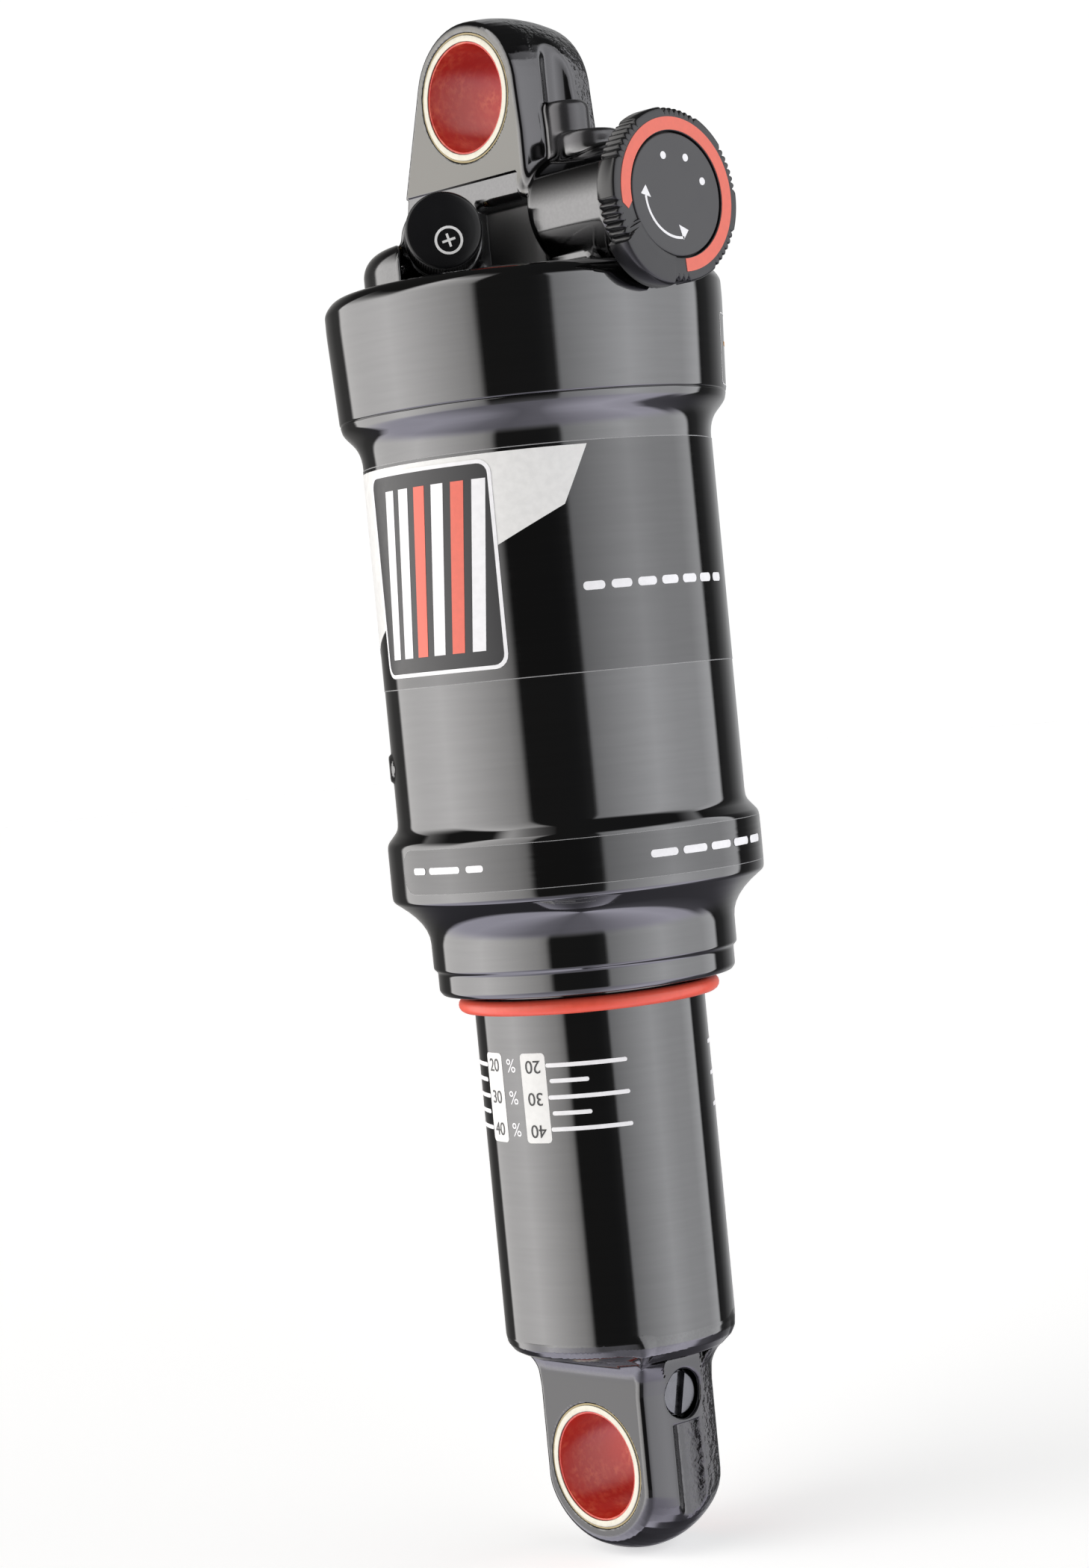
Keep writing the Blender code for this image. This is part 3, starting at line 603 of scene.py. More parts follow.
def lower_eyelet_distance(x, y, z):
    def outline(grow):
        half, foot = 8.75 + 1.35 * grow, 9.15 + 1.95 * grow
        bottom = arc((0, 0), foot, 180, 360, 28)
        bottom = [(max(-half, min(half, px)), pz) for px, pz in bottom]
        right = [(half, 9.0), (half + 0.25, 11.0), (half + 0.9, 13.0), (half + 1.9, 15.0)]
        return bottom + right + [(-px, pz) for px, pz in reversed(right)]

    plain, full = outline_distance(outline(0), x, z), outline_distance(outline(1), x, z)
    swell = 1 - np.clip(np.abs(y) / HALF_EYE, 0, 1) ** 2
    lump = plain + (full - plain) * swell
    lump = within(lump, np.abs(y) - HALF_EYE, k=0.9)
    around = np.hypot(x, y)
    base = [(0, 13.4), (9.5, 13.6), (12.2, 14.1), (13.3, 14.7), (13.85, 15.5), (14.0, 16.4)]
    base += [(13.96, 16.7), (13.96, 17.2), (0, 17.2)]
    body = join(lump, outline_distance(base, around, z), k=3.2)
    width = 1.6 + 0.36 * np.clip(z - 7.0, 0, 6)
    spot = np.maximum(np.maximum(np.abs(y) - width, 10.0 - x), np.abs(z - 10.1) - 3.1)
    body = within(body, -spot, k=0.15)
    groove = np.maximum(np.hypot(x - 12.0, y) - 3.1, np.abs(z + 1.25) - 6.2)
    body = within(body, -groove, k=0.35)
    port = np.maximum(np.hypot(y, z - 8.4) - 2.95, 6.9 - x)
    body = within(body, -port, k=0.45)
    body = within(body, EYE_HOLE_R - np.hypot(x, z), k=0.2)
    return within(body, z - 17.2, k=0.05)


def lower_eyelet_masks(points, normals):
    x, y, z = points.T
    satin = fade(np.abs(normals[:, 1]), 0.97, 0.995) * fade(np.abs(y), 6.0, 6.2)
    side = 1 - fade(np.abs(normals[:, 1]), 0.6, 0.9)
    groove = fade(x, 8.0, 8.8) * (1 - fade(np.abs(y), 2.7, 2.9)) * (1 - fade(z, 4.6, 5.2))
    groove = groove * fade(y, -1.2, 0.4) * fade(z, -7.6, -7.2)
    low = 1 - fade(z, -8.6, -7.0)
    back = fade(y, 2.2, 3.2) * fade(z, -7.5, -5.5)
    forged = side * (1 - fade(z, 11.5, 13.5)) * np.clip(low * 0.12 + back + groove, 0, 1)
    # Darker colour on the eye's flanks below the tube: painted shade with some darker skin tone.
    dull = side * (1 - fade(z, 12.0, 14.0)) * (1 - low) * fade(np.abs(x), 7.0, 8.5)
    return {"satin": satin, "forged": forged, "dull": dull, "soft": forged * 0}


def build_damper():
    forging("lower_eyelet", lower_eyelet_distance, (-15, -15, -12), (15, 15, 18.2),
            EYE_BLACK, "damper_side", ("damper_body",), lower_eyelet_masks)
    wall = rounded([(TUBE_R, 16.45, 0), (TUBE_R, 86.0, 0.3), (12.0, 86.0, 0.3), (12.0, 16.45, 0)])
    turned("damper_tube", wall, UP, 192, TUBE_BLACK, "damper_side", slot="damper_body")
    bush("lower", LOWER_EYE, "damper_side")
    screw = rounded([(0, 7.9, 0), (2.65, 7.9, 0.2), (2.65, 9.1, 0.25), (0, 9.1, 0)])
    screw_piece = turned("fill_screw", screw, PORT, 64, SCREW_DARK, "damper_side",
                         ("ifp_fill_screw",), closed=False)
    carve(screw_piece, (8.45, -0.6, -4), (12, 0.6, 4), (0, 0, 8.4), 14)
    build_scale()


def carve(obj, low, high, origin, tilt):
    """Cut a block, tilted in degrees about X, out of a piece."""
    corners = [(x, y, z) for x in (low[0], high[0]) for y in (low[1], high[1])
               for z in (low[2], high[2])]
    mesh = bpy.data.meshes.new("slot")
    turn = np.array(Matrix.Rotation(math.radians(tilt), 3, "X"))
    mesh.from_pydata(to_world(np.array(corners) @ turn + origin).tolist(), [],
                     [(0, 1, 3, 2), (4, 6, 7, 5), (0, 4, 5, 1), (2, 3, 7, 6), (0, 2, 6, 4),
                      (1, 5, 7, 3)])
    tool = bpy.data.objects.new("slot", mesh)
    bpy.context.scene.collection.objects.link(tool)
    cut = obj.modifiers.new("slot", "BOOLEAN")
    cut.operation = "DIFFERENCE"
    cut.solver = "EXACT"
    cut.object = tool
    bpy.context.view_layer.update()
    graph = bpy.context.evaluated_depsgraph_get()
    result = bpy.data.meshes.new_from_object(obj.evaluated_get(graph))
    obj.modifiers.clear()
    obj.data = result
    bpy.data.objects.remove(tool, do_unlink=True)


def bush(prefix, axis, body):
    """Steel bush and its sliding liner."""
    shell = rounded([(6.62, -HALF_EYE, 0.1), (7.42, -HALF_EYE, 0.14), (7.42, HALF_EYE, 0.14),
                     (6.62, HALF_EYE, 0.1)], 3)
    turned(prefix + "_bush_shell", shell, axis, 160, BUSH_STEEL, body,
           (prefix + "_bushing_shell",))
    edge = [(7.40, -6.22), (7.62, -6.22), (7.62, 6.22), (7.40, 6.22)]
    turned(prefix + "_bush_edge", edge, axis, 160, BUSH_EDGE, body,
           slot=prefix + "_bushing_shell")
    liner = rounded([(6.36, -6.2, 0.08), (6.6, -6.2, 0), (6.6, 6.2, 0), (6.36, 6.2, 0.08)], 3)
    turned(prefix + "_bush_liner", liner, axis, 160, BUSH_RED, body,
           (prefix + "_bushing_liner",))


def build_scale():
    """Sag scale printed on the tube, with a second one further round."""
    white, labels, dark = [], [], []
    degree = math.radians(1) * TUBE_R

    def line(start, end, height, width=0.5):
        length = (end - start) * degree
        outline = box_outline(0, -width / 2, length, width / 2, width / 2 - 0.01, 4)
        white.append((flat_shape([outline], THIN), start, height))

    def scale(left, mirror):
        """One scale: label column, long and short lines to one side of it."""
        for height in (49.8, 46.0, 42.2):
            ends = (left + mirror * 14.3, left + mirror * 54.7)
            line(min(ends), max(ends), height)
        for height in (47.95, 44.1):
            ends = (left + mirror * 15.7, left + mirror * 35.5)
            line(min(ends), max(ends), height)

    scale(-39.7, 1)
    scale(-53.0, -1)
    scale(131.2, -1)
    for start, end in ((-39.7, -25.6), (-66.8, -53.0), (117.1, 131.2)):
        outline = box_outline(0, 0, (end - start) * degree, 10.7, 0.5)
        labels.append((flat_shape([outline], THIN), start, 40.6))
    for row, number in enumerate(("20", "30", "40")):
        height = 49.75 - 3.83 * row
        white.append((flat_text("%", 2.3, THIN), -46.3, height))
        dark.append((flat_text(number, 2.2, THIN, 180), -32.6, height))
        dark.append((flat_text(number, 2.2, THIN), -59.9, height))
        dark.append((flat_text(number, 2.2, THIN), 124.2, height))
    where = {"radius": TUBE_R, "body": "damper_side", "slot": "damper_body"}
    wrap("scale_lines", white, lift=0.016, material=PRINT_WHITE, **where)
    wrap("scale_labels", labels, lift=0.016, material=PRINT_GREY, **where)
    wrap("scale_numerals", dark, lift=0.05, material=PRINT_DARK, **where)


# ---------------------------------------------------------------- air can


def build_sag_ring():
    points = arc((14.98, 56.75), 0.9, 0, 337.5, 15)
    turned("sag_o_ring", points, UP, 160, RING_CORAL, "sag_indicator", ("sag_ring",))


def can_shape(turn, radius, height):
    """The can is round but for one low oval boss on its left side."""
    centre = math.radians(FACING - 84.5)
    across = (turn - centre + math.pi) % (2 * math.pi) - math.pi
    oval = np.hypot(across * BARREL_R / 2.2, (height - 86.1) / 1.9)
    proud = 0.35 * (1 - fade(oval, 0.75, 1.0)) * (radius > 20.9)
    return radius + proud, height


def build_can():
    outer = rounded([
        (14.5, 58.2, 0), (17.6, 58.2, 0.2), (18.0, 58.75, 0.25), (18.0, 61.0, 0.25),
        (18.45, 61.45, 0.2), (18.5, 67.07, (2.5, 4.2)), (22.5, 69.95, (0.5, 0.3)),
        (22.6, 70.6, (0.3, 0.4)), (22.6, 76.9, (0.7, 0.5)), (21.2, 78.55, (0.6, 0.5)),
        (21.1, 79.6, (0.4, 0.2)), (21.1, 83.4, 0)])
    outer += [(21.1, z) for z in np.arange(83.7, 88.7, 0.3)]
    outer += rounded([
        (21.1, 89.0, 0), (21.1, 124.3, (2.0, 1.5)), (23.1, 126.5, (0.9, 0.35)),
        (23.34, 127.45, (0.3, 0.02)), (23.22, 127.58, 0.02), (23.42, 127.75, (0.1, 0.2)),
        (23.95, 138.6, (1.5, 0.6)), (23.95, 141.2, (0.6, 1.0)), (22.7, 142.55, (0.8, 0.8)),
        (20.9, 142.7, 0)])
    inner = [(20.6, 142.6), (20.6, 130.2), (19.3, 129.0), (19.3, 71.0), (14.5, 71.0)]
    turned("can", outer + inner, UP, 256, BLACK, "can_side", ("air_can",), shape=can_shape)
    plug = rounded([(0, 142.4, 0), (20.3, 142.4, 0.3), (20.3, 134.0, 0), (19.0, 133.4, 0),
                    (19.0, 129.6, 0.2), (13.0, 129.6, 0), (13.0, 133.6, 0), (0, 133.6, 0)])
    turned("head_plug", plug, UP, 192, BLACK, "can_side", slot="shaft_eyelet", closed=False)
    build_can_prints()


def upper_collar(height):
    """Radius of the upper collar's slightly coned wall."""
    return 23.42 + (height - 127.75) * (23.95 - 23.42) / (138.6 - 127.75)


def build_can_prints():
    where = {"body": "can_side", "slot": "air_can"}
    degree = math.radians(1) * BARREL_R
    under, over, film_low, film_high = BARREL_R + 0.01, BARREL_R + 0.05, 95.5, 122.0
    film = [(under, film_low), (over, film_low), (over, film_high), (under, film_high)]
    turned("film", film, UP, 256, FILM, **where)
    # Thin lighter bands along the film's top and bottom edges: a painted highlight of the edges
    # catching light.
    edges = []
    for low in (95.42, 121.96):
        edges.append((flat_shape([box_outline(0, 0, 2 * math.pi * BARREL_R - 0.3, 0.1)], THIN),
                      -178.0, low))
    wrap("film_rim_highlights", edges, BARREL_R, 0.05, FILM_EDGE_HIGHLIGHT, **where)
    area = [(-112, 94.0), (-15.8, 110.9), (6.7, 114.9), (15.4, 121.6), (-112, 121.6)]
    area = [((t + 112) * degree, z - 94.0) for t, z in area]
    area[0] = (0, 2.5)
    wrap("film_grey", [(flat_shape([area], THIN), -112, 94.0)], BARREL_R, 0.07, PRINT_GREY,
         **where)
    width, height, rim = 54.5 * degree, 24.2, 0.45
    spot = (-70, 96.8)  # angle and height of the badge's lower left corner
    panel = box_outline(0, 0, width, height, 1.6)
    inside = box_outline(rim, rim, width - rim, height - rim, 1.25)
    wrap("badge_rim", [(flat_shape([panel, inside], THIN), *spot)], BARREL_R, 0.13,
         PRINT_WHITE, **where)
    wrap("badge_panel", [(flat_shape([panel], THIN), *spot)], BARREL_R, 0.095, PRINT_DARK,
         **where)
    white, coral = [], []
    lean, low, high = 1.9, 2.2, 22.0
    for bar in range(6):
        left = 2.0 + bar * 2.75
        right = left + 1.7
        outline = [(left, low), (right, low), (right + lean, high), (left + lean, high)]
        shape = (flat_shape([outline], THIN), *spot)
        (coral if bar in (2, 4) else white).append(shape)
    wrap("badge_white_bars", white, BARREL_R, 0.13, PRINT_WHITE, **where)
    wrap("badge_coral_bars", coral, BARREL_R, 0.13, PRINT_CORAL, **where)
    dashes = [(flat_shape([box_outline(0, -0.5, 2.6, 0.5, 0.45)], THIN), 10 + 9.2 * i, 105.3)
              for i in range(7)]
    wrap("side_dashes", dashes, BARREL_R, 0.07, PRINT_WHITE, **where)
    marks = [(flat_shape([box_outline(0, -0.4, length, 0.4, 0.35)], THIN), t, 74.0)
             for t, length in ((-58, 2.4), (-50, 5.0), (-35, 2.4))]
    marks += [(flat_shape([box_outline(0, -0.45, 3.6, 0.45, 0.4)], THIN), t, 73.9)
              for t in (22, 33, 44, 55, 66)]
    wrap("collar_marks", marks, COLLAR_R, 0.05, PRINT_WHITE, **where)
    length = math.radians(150) * COLLAR_R
    strip = box_outline(0, 0, length, 5.4, 2.4)
    inner = box_outline(0.07, 0.07, length - 0.07, 5.33, 2.34)
    wrap("collar_strip", [(flat_shape([strip], 0.01), -65, 71.2)], COLLAR_R, 0.008, FILM, **where)
    # The strip's outline is a painted highlight along its edge.
    wrap("collar_strip_highlight", [(flat_shape([strip, inner], 0.01), -65, 71.2)], COLLAR_R, 0.016,
         FILM_EDGE_HIGHLIGHT, **where)
    label = box_outline(0, 0, 20.0, 8.6, 0.6)
    inner = box_outline(0.12, 0.12, 19.88, 8.48, 0.5)
    wrap("label_edge", [(flat_shape([label, inner], THIN), 76, 128.1)], upper_collar, 0.02,
         PRINT_GREY, **where)
    wrap("label_mark", [(flat_shape([box_outline(0, 0, 1.8, 0.5, 0.2)], THIN), 82.5, 132.9)],
         upper_collar, 0.02, PRINT_AMBER, **where)


# ---------------------------------------------------------------- head


def tower_outline(grow):
    draft, back = 0.85 * grow, 0.3 * grow
    points = [(9.2 + draft, 141.0), (9.2 + draft, 159.5)]
    points += arc((0, UPPER_Z), 8.8 + draft, 0, 162, 26)
    points += [(-12.5 - back, 155.0), (-14.5 - back, 145.9), (-14.9 - back, 141.0)]
    return points


def head_distance(x, y, z):
    plain = outline_distance(tower_outline(0), x, z)
    full = outline_distance(tower_outline(1), x, z)
    swell = 1 - np.clip(np.abs(y) / HALF_EYE, 0, 1) ** 2
    recess = 0.4 * (1 - fade(z, 154.85, 154.95)) * (1 - fade(x, 7.7, 7.85)) * (y < 0)
    tower = within(plain + (full - plain) * swell, np.abs(y) - (HALF_EYE - recess), k=0.7)

    around = np.hypot(x, y)
    base_r, base_top, base_round = 18.8, 147.9, 3.0
    qr, qz = around - (base_r - base_round), z - (base_top - base_round)
    base = np.hypot(np.maximum(qr, 0), np.maximum(qz, 0)) - base_round
    base = base + np.minimum(np.maximum(qr, qz), 0)
    shelf_side = -(x + 16.4) * VALVE_DIRECTION[1] + (y + 5.0) * VALVE_DIRECTION[0]
    shelf = np.maximum(np.maximum(y + 5.0, -shelf_side), 142.75 - z)
    base = within(base, -shelf, k=0.4)

    arch = np.hypot(y, z - KNOB_Z) - 7.5
    slant = (8.6 + (151 - z) * 0.2 - x) * 0.98
    boss = within(arch, x - 22.8, slant, k=0.9)
    foot = within(np.abs(y) - 5.6, x - 18.0, 2.2 - x, z - 146.0, k=0.8)
    tall = within(np.hypot(x - 10.4, y) - 2.9, z - 162.8, 149.0 - z, k=1.2)
    stub = within(np.hypot(x - 14.1, y) - 3.7, z - 158.6, 149.0 - z, k=0.9)

    vx, vy = VALVE.h[0], VALVE.h[1]
    dx, dy, dz = x - VALVE.origin[0], y - VALVE.origin[1], z - VALVE.origin[2]
    station = dx * vx + dy * vy
    across = -dx * vy + dy * vx
    from_axis = np.hypot(across, dz)
    valve_boss = within(from_axis - 4.9, station - 7.7, -1.0 - station, k=0.5)
    web = within(np.abs(across) - 3.2, station - 7.0, -1.5 - station, np.abs(dz + 3.0) - 3.1,
                 k=0.5)

    head = join(tower, base, k=1.4)
    head = join(head, np.minimum(boss, foot), k=1.1)
    head = join(head, tall, stub, k=0.7)
    pocket = np.maximum(np.maximum(y + 4.7, np.abs(z - 147.0) - 4.15),
                        np.maximum(0.2 - x, x - 9.3 - (151 - z) * 0.15))
    head = within(head, -pocket, k=1.6)
    head = join(head, valve_boss, web, k=1.3)
    groove = np.maximum(np.hypot(x - 11.3, y) - 2.9, 163.0 - z)
    head = within(head, -groove, k=0.4)
    head = within(head, EYE_HOLE_R - np.hypot(x, z - UPPER_Z), k=0.2)
    stem = np.maximum(from_axis - 4.0, -0.3 - station)
    cam = np.maximum(np.hypot(y, z - KNOB_Z) - 3.3, 15.0 - x)
    return within(head, -stem, -cam, 141.9 - z, k=0.1)


def head_masks(points, normals):
    x, y, z = points.T
    side = 1 - fade(np.abs(normals[:, 1]), 0.75, 0.95)
    face = fade(np.abs(normals[:, 1]), 0.97, 0.995) * fade(np.abs(y), 5.95, 6.04)
    eye = face * fade(z, 151.3, 151.8) * (1 - fade(x, 9.3, 9.6))
    pocket = fade(x, -0.5, 0.3) * (1 - fade(x, 9.4, 9.9)) * (1 - fade(z, 151.3, 151.8))
    pocket = pocket * fade(-y, 4.2, 4.6) * (1 - fade(-y, 6.2, 6.4))
    tower = side * fade(z, 148.5, 150.5) * (1 - fade(np.hypot(x - 10.4, y), 3.3, 2.9))
    tower = tower * (1 - fade(x, 10.4, 11.5)) * fade(y, -3.5, -2.0)
    # The flank beside the eye face and the columns are darkened: painted shade in the crevice
    # between tower and columns, with some darker skin tone.
    flank = side * fade(x, 7.5, 8.5) * (1 - fade(x, 10.6, 11.2)) * fade(z, 150.5, 152.5)
    flank = flank * (1 - fade(np.hypot(x, z - UPPER_Z), 10.3, 10.9) * fade(z, 166, 170))
    columns = fade(x, 10.2, 10.9) * fade(z, 156.2, 157.2) * (1 - fade(z, 162.9, 163.3))
    dull = np.clip(flank + columns, 0, 1)
    soft = np.clip(pocket + columns * 0.5, 0, 1)
    return {"satin": eye, "forged": tower, "dull": dull, "soft": soft}


def build_head():
    forging("head", head_distance, (-20.5, -20.5, 141.0), (24.5, 20.5, 176.0), HEAD_BLACK,
            "can_side", ("shaft_eyelet",), head_masks)
    bush("upper", UPPER_EYE, "can_side")


# ---------------------------------------------------------------- knob and valve cap


KNOB_LOBES = 6
LOBE_HALF = 13.0
FIRST_LOBE = 230.0
KNOB_FACE_X = 27.45
LUG_TURN = 236.0
LUG_HALF = 24
LUG_RISE = 0.33


def knob_rim(degrees):
    """Radius of the knob's edge: six smooth lobes, knurled between them, and one raised lug."""
    pitch = 360 / KNOB_LOBES
    away = np.abs((degrees - FIRST_LOBE + pitch / 2) % pitch - pitch / 2)
    lug = np.abs((degrees - LUG_TURN + 180) % 360 - 180) < LUG_HALF
    gap = pitch / 2 - LOBE_HALF
    phase = (away - LOBE_HALF) / gap * 3.5
    knurl = 9.58 + 0.44 * np.abs(np.cos(math.pi * phase)) ** 0.8
    rim = np.where(away < LOBE_HALF, 10.1, knurl)
    raised = 10.95 - 0.35 * ((degrees - LUG_TURN) / LUG_HALF) ** 2
    return np.where(lug, raised, rim)


def knob_shape(turn, radius, height):
    """Turned profile whose outer radii, given as 20 plus an inset, follow the knurled edge."""
    degrees = np.degrees(turn) % 360
    rim = knob_rim(degrees)
    outer = radius > 15
    bent = np.where(outer, rim + radius - 20.0, radius)
    edge = 203.5 + (np.clip(bent, 7.3, 9.3) - 7.3) / 2.0 * 7.3
    lug = fade(degrees, edge, edge + 0.7) * (1 - fade(degrees, 259.5, 261.0))
    front = (height > KNOB_FACE_X - 0.5) & (bent > 7.29)
    return bent, height + LUG_RISE * lug * front


def build_knob():
    profile = [(0, 23.1), (6.6, 23.1), (6.8, 23.3), (6.8, 24.35), (19.3, 24.35), (19.75, 24.5),
               (20.0, 24.85), (20.0, 26.95), (19.93, 27.2), (19.75, 27.38), (19.5, 27.45),
               (9.2, KNOB_FACE_X), (8.95, KNOB_FACE_X), (8.1, KNOB_FACE_X),
               (7.42, KNOB_FACE_X), (7.33, KNOB_FACE_X - 0.06), (7.3, KNOB_FACE_X - 0.2),
               (7.28, 26.7), (7.0, 26.6), (0, 26.6)]
    knob = turned("knob", profile, KNOB, 1080, KNOB_BLACK, "rebound_adjuster",
                  ("rebound_knob",), closed=False, shape=knob_shape, sharp=40)
    knob.data.materials.append(KNOB_RING)
    for face in knob.data.polygons:
        face.material_index = int(face.normal.x > 0.8)
    disc = rounded([(0, 26.75, 0), (7.1, 26.75, 0), (7.1, 27.4, 0.25), (0, 27.4, 0)])
    turned("knob_disc", disc, KNOB, 160, KNOB_FACE, "rebound_adjuster", ("knob_face_disc",),
           closed=False)
    where = {"body": "rebound_adjuster", "slot": "knob_face_disc"}
    coral = arc((0, 0), 8.9, -86.5, 187.5, 120)
    coral += [(8.2 * math.cos(math.radians(193)), 8.2 * math.sin(math.radians(193)))]
    coral += arc((0, 0), 7.4, 187.5, -86.5, 120)
    lay("knob_coral_arc", [(flat_shape([coral], 0.08), 0, 0)], KNOB, KNOB_FACE_X + 0.02,
        PRINT_CORAL, **where)
    sweep = band_outline(4.85, 5.15, 183, 277, 40)
    heads = [[(-4.9, 0.95), (-5.75, -0.05), (-4.2, -0.45)],
             [(1.4, -4.1), (-0.05, -3.5), (0.5, -5.25)]]
    shapes = [(flat_shape([outline], THIN), 0, 0) for outline in (sweep, *heads)]
    dot_reach = 4.7
    for angle in np.radians((20, 65, 110)):
        dot = flat_shape([arc((0, 0), 0.45, 0, 345, 23)], THIN)
        shapes.append((dot, dot_reach * math.cos(angle), dot_reach * math.sin(angle)))
    lay("knob_arrow", shapes, KNOB, 27.42, PRINT_WHITE, **where)


CAP_RIDGES = 84


def cap_shape(turn, radius, height):
    """Fine ridges round the cap's skirt."""
    ridge = 0.5 - 0.5 * np.cos(turn * CAP_RIDGES)
    skirt = fade(height, 8.5, 8.9) * (1 - fade(height, 14.7, 15.1)) * (radius > 4.4)
    return radius - 0.14 * ridge * skirt, height


def build_cap():
    profile = rounded([(0, 15.2, 0), (4.0, 15.2, 0), (4.0, 8.0, 0), (4.3, 8.0, 0.05),
                       (4.55, 8.3, 0.1)], 3)
    profile += [(4.55, h) for h in (8.5, 8.7, 8.9, 9.1, 14.5, 14.7, 14.9, 15.1)]
    profile += rounded([(4.55, 15.2, 0), (4.55, 15.75, 0.4), (2.6, 15.94, (1.0, 1.0)),
                        (0, 16.0, 0)], 5)
    cap = turned("cap", profile, VALVE, CAP_RIDGES * 8, CAP_BLACK, "cap_turning", ("valve_cap",),
                 closed=False, shape=cap_shape)
    # Side faces take the lighter skirt material, painted light on the ridges; the rougher finish
    # is the skirt's own.
    cap.data.materials.append(CAP_SKIRT_PAINTED_LIGHT)
    for face in cap.data.polygons:
        face.material_index = int(abs(face.normal @ Vector(VALVE.h)) < 0.5)
    circle = band_outline(1.37, 1.67, 0, 359.5, 60)
    tilt = Matrix.Rotation(math.radians(14), 3, "Z")
    spot = (0.47, -1.24)
    shapes = [(flat_shape([circle], THIN), *spot)]
    arms = flat_shape([[(-0.14, -0.8), (0.14, -0.8), (0.14, -0.14), (0.8, -0.14), (0.8, 0.14),
                        (0.14, 0.14), (0.14, 0.8), (-0.14, 0.8), (-0.14, 0.14), (-0.8, 0.14),
                        (-0.8, -0.14), (-0.14, -0.14)]], THIN)
    bmesh.ops.rotate(arms, verts=arms.verts, matrix=tilt)
    shapes.append((arms, *spot))
    lay("cap_plus", shapes, VALVE, 16.0, PRINT_WHITE, "cap_turning", "valve_cap")


# ---------------------------------------------------------------- inner pieces


INNER_FINISHES = {
    "rubber": Finish("seal_rubber", (0.02, 0.02, 0.02), 0.6).vary(0.1, 0.2, 2.0).material,
    "ptfe": Finish("bearing_plastic", (0.33, 0.25, 0.14), 0.5).vary(0.08, 0.1, 2.0).material,
    "urethane": Finish("urethane", (0.75, 0.60, 0.22), 0.5).vary(0.05, 0.1, 1.0).material,
    "brass": metal("machined_brass", (0.65, 0.48, 0.20), 0.28),
    "bare": metal("bare_aluminium", (0.62, 0.62, 0.63), 0.3),
    "steel": metal("bright_steel", (0.60, 0.60, 0.62), 0.22),
}
INNER_KINDS = {
    "rubber": ("oring", "seal", "wiper", "pellet"),
    "ptfe": ("glide_ring", "piston_ring", "shaft_bushing"),
    "urethane": ("bumper",),
    "brass": ("valve_stem", "valve_core", "valve_pin"),
    "bare": ("air_piston", "ifp", "main_piston", "needle"),
}


def finish_inner_nodes():
    """Give every CAD node that is still shown a procedural finish."""
    for name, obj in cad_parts.items():
        if obj.hide_render:
            continue
        kind = "steel"
        for candidate, words in INNER_KINDS.items():
            if any(word in name for word in words):
                kind = candidate
                break
        obj.data.materials.clear()
        obj.data.materials.append(INNER_FINISHES[kind])


# ---------------------------------------------------------------- studio


# Light levels round the object, as (degrees from the camera-facing direction, level) stops.
WALLS = ((-180, .45), (-160, .19), (-145, .11), (-134, .12), (-131, 2.0), (-110, 2.25),
         (-85, 2.6), (-70, 2.2), (-50, 1.64), (-36, 1.25), (-30, .9), (-26, .05), (-12, .03),
         (8, .05), (15, .08), (17.5, .85), (40, 1.35), (60, 1.8), (80, 1.5), (100, 1.4),
         (112, 1.7), (116, 1.7), (119, .06), (130, .09), (140, .23), (150, .40), (160, .54),
         (180, .45))
FLOOR_BOUNCE = ((-180, .1), (-135, .1), (-128, 1.4), (-100, 1.5), (-70, 1.1), (-45, .7),
                (-20, .5), (10, .6), (40, 1.1), (80, 1.7), (100, 1.5), (108, .3), (135, .15),
                (180, .1))
PEAK = 3.0


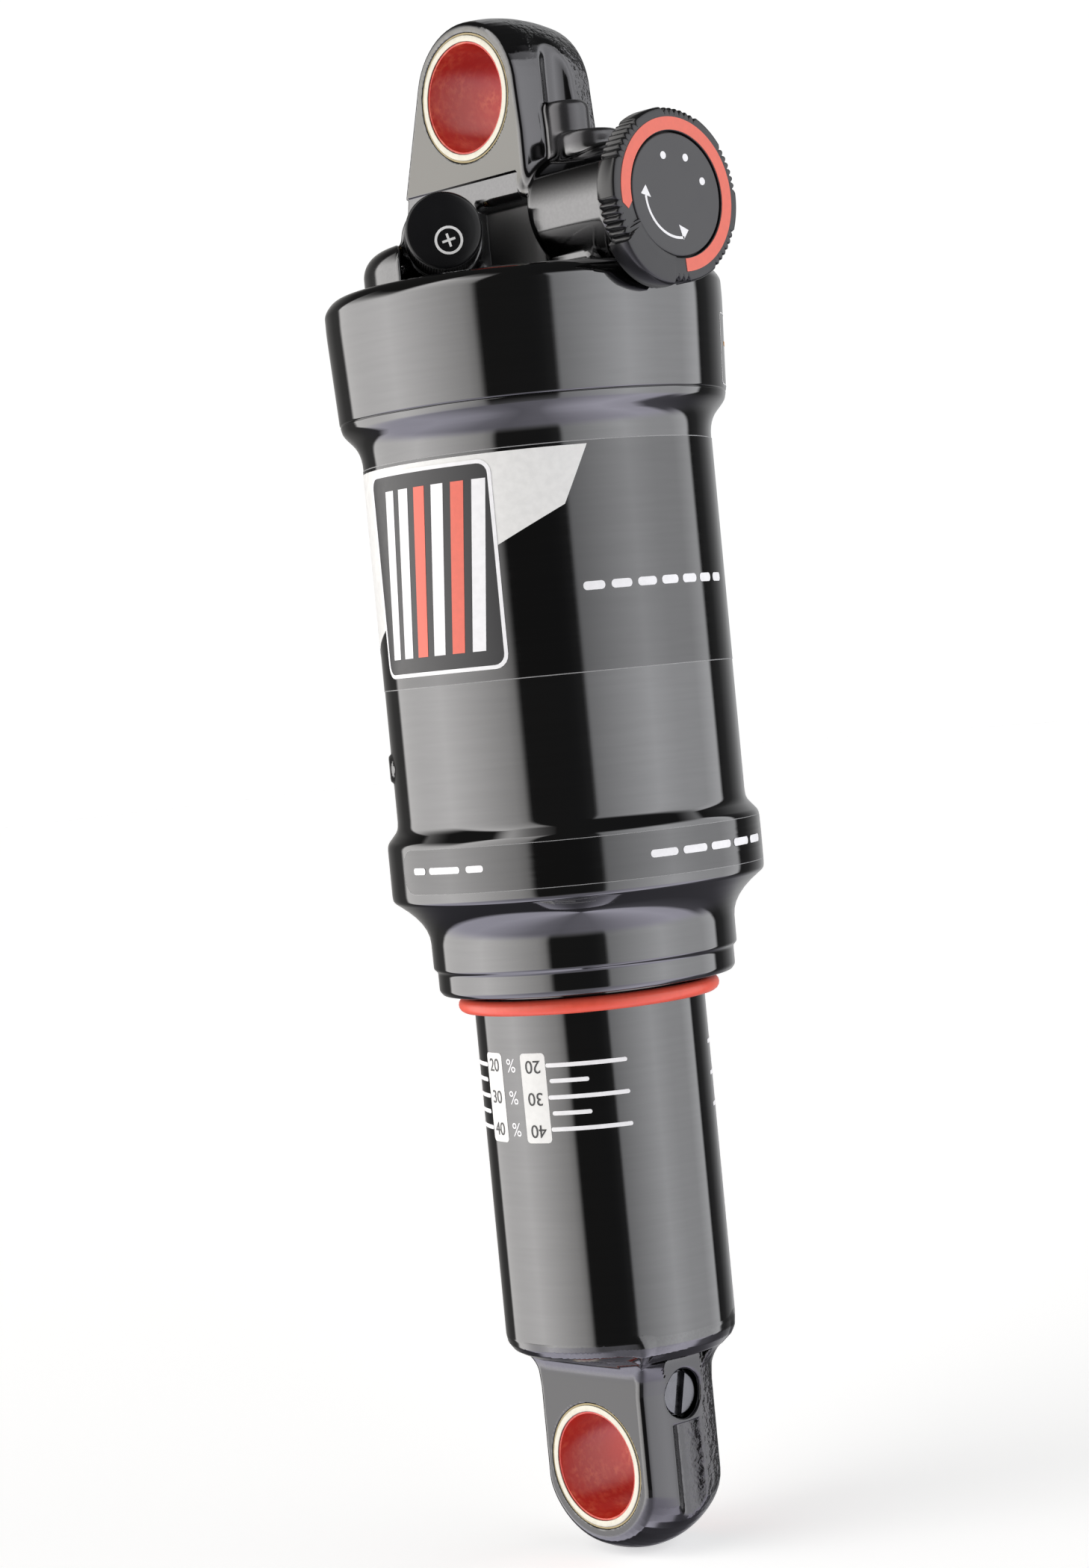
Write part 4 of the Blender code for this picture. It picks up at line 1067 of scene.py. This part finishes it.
def build_world():
    """Two tall soft boxes with a dark gap between them, as light for everything but the view."""
    world = bpy.data.worlds.new("studio")
    world.use_nodes = True
    bpy.context.scene.world = world
    tree = world.node_tree
    nodes, links = tree.nodes, tree.links
    background = nodes["Background"]

    def node(kind, *inputs, **settings):
        made = nodes.new(kind)
        for key, value in settings.items():
            setattr(made, key, value)
        for socket, value in zip(made.inputs, inputs):
            if isinstance(value, bpy.types.NodeSocket):
                links.new(value, socket)
            elif value is not None:
                socket.default_value = value
        return made

    def math_node(operation, *inputs):
        return node("ShaderNodeMath", *inputs, operation=operation).outputs[0]

    def mix(factor, first, second):
        return node("ShaderNodeMix", factor, None, first, second).outputs[0]

    def mix_colour(factor, first, second):
        others = [None] * 5  # the node's sockets for numbers and vectors
        made = node("ShaderNodeMix", factor, *others, first, second, data_type="RGBA")
        return made.outputs[2]

    def steps(value, start, end):
        made = node("ShaderNodeMapRange", value, start, end, 0.0, 1.0)
        made.interpolation_type = "SMOOTHSTEP"
        return made.outputs[0]

    def ramp(position, stops):
        made = node("ShaderNodeValToRGB", position)
        elements = made.color_ramp.elements
        while len(elements) > 1:
            elements.remove(elements[0])
        for i, (angle, level) in enumerate(stops):
            place = (angle + 180) / 360
            element = elements[0] if i == 0 else elements.new(place)
            element.position = place
            element.color = (level / PEAK, level / PEAK, level / PEAK, 1)
        return made.outputs[0]

    direction = node("ShaderNodeTexCoord").outputs["Generated"]
    split = node("ShaderNodeSeparateXYZ", direction)
    x, y, z = split.outputs
    turn = math_node("DIVIDE", math_node("ARCTAN2", y, x), 2 * math.pi)
    position = math_node("FRACT", math_node("ADD", turn, 0.5 - FACING / 360))
    walls = ramp(position, WALLS)
    bounce = ramp(position, FLOOR_BOUNCE)
    to_right = steps(position, 0.45, 0.53)
    front_left = steps(position, 0.244, 0.292)
    low_top = math_node("SUBTRACT", 1.0, steps(z, 0.2, 0.75))
    high_top = math_node("SUBTRACT", 1.0, steps(z, 0.87, 0.996))
    left_top = mix(front_left, low_top, high_top)
    right_top = math_node("SUBTRACT", 1.0, steps(z, 0.57, 0.82))
    lit = math_node("MULTIPLY", walls, mix(to_right, left_top, right_top))
    lit = math_node("MAXIMUM", lit, 0.015)
    down = steps(math_node("MULTIPLY", z, -1.0), 0.3, 0.65)
    level = mix(down, lit, bounce)
    warm, cool, purple = (1.02, 1.0, 0.975, 1), (0.995, 1.0, 1.01, 1), (1.0, 0.97, 1.12, 1)
    tint = mix_colour(down, mix_colour(to_right, warm, cool), purple)
    seen = node("ShaderNodeLightPath").outputs["Is Camera Ray"]
    colour = mix_colour(seen, tint, (1, 1, 1, 1))
    bright = mix(seen, math_node("MULTIPLY", level, PEAK), 1.02)
    links.new(colour, background.inputs["Color"])
    links.new(bright, background.inputs["Strength"])


def build_floor():
    """A wide pale floor that the world's white fades into."""
    mesh = bpy.data.meshes.new("floor")
    reach = 3.0
    corners = [(-reach, -reach, 0), (reach, -reach, 0), (reach, reach, 0), (-reach, reach, 0)]
    mesh.from_pydata(corners, [], [(0, 1, 2, 3)])
    floor = bpy.data.objects.new("floor", mesh)
    bpy.context.scene.collection.objects.link(floor)
    finish = Finish("floor_pale", (0.9, 0.9, 0.9), 0.9)
    finish.set("Specular IOR Level", 0.0)
    finish.set("Emission Color", (1, 1, 1, 1))
    finish.set("Emission Strength", 0.5)
    mesh.materials.append(finish.material)
    floor.visible_glossy = False
    floor.visible_diffuse = False
    floor.visible_shadow = False


def build_camera():
    azimuth, elevation, roll = (math.radians(a) for a in (VIEW_AZIMUTH, 1.683, -5.496))
    back = Vector((math.sin(azimuth) * math.cos(elevation),
                   -math.cos(azimuth) * math.cos(elevation), math.sin(elevation)))
    right = Vector((0, 0, 1)).cross(back).normalized()
    up = back.cross(right)
    across = math.cos(roll) * right + math.sin(roll) * up
    along = -math.sin(roll) * right + math.cos(roll) * up
    turn = Matrix((across, along, back)).transposed().to_4x4()
    data = bpy.data.cameras.new("camera")
    data.sensor_fit = "AUTO"
    data.sensor_width = 36.0
    data.lens = LENS
    data.clip_start = 0.02
    camera = bpy.data.objects.new("camera", data)
    place = Vector(CAMERA_PLACE) * MM + LOWER
    camera.matrix_world = Matrix.Translation(place) @ turn
    bpy.context.scene.collection.objects.link(camera)
    bpy.context.scene.camera = camera


build_damper()
build_sag_ring()
build_can()
build_head()
build_knob()
build_cap()
finish_inner_nodes()
build_world()
build_floor()
build_camera()
bpy.context.scene.view_settings.view_transform = "Standard"
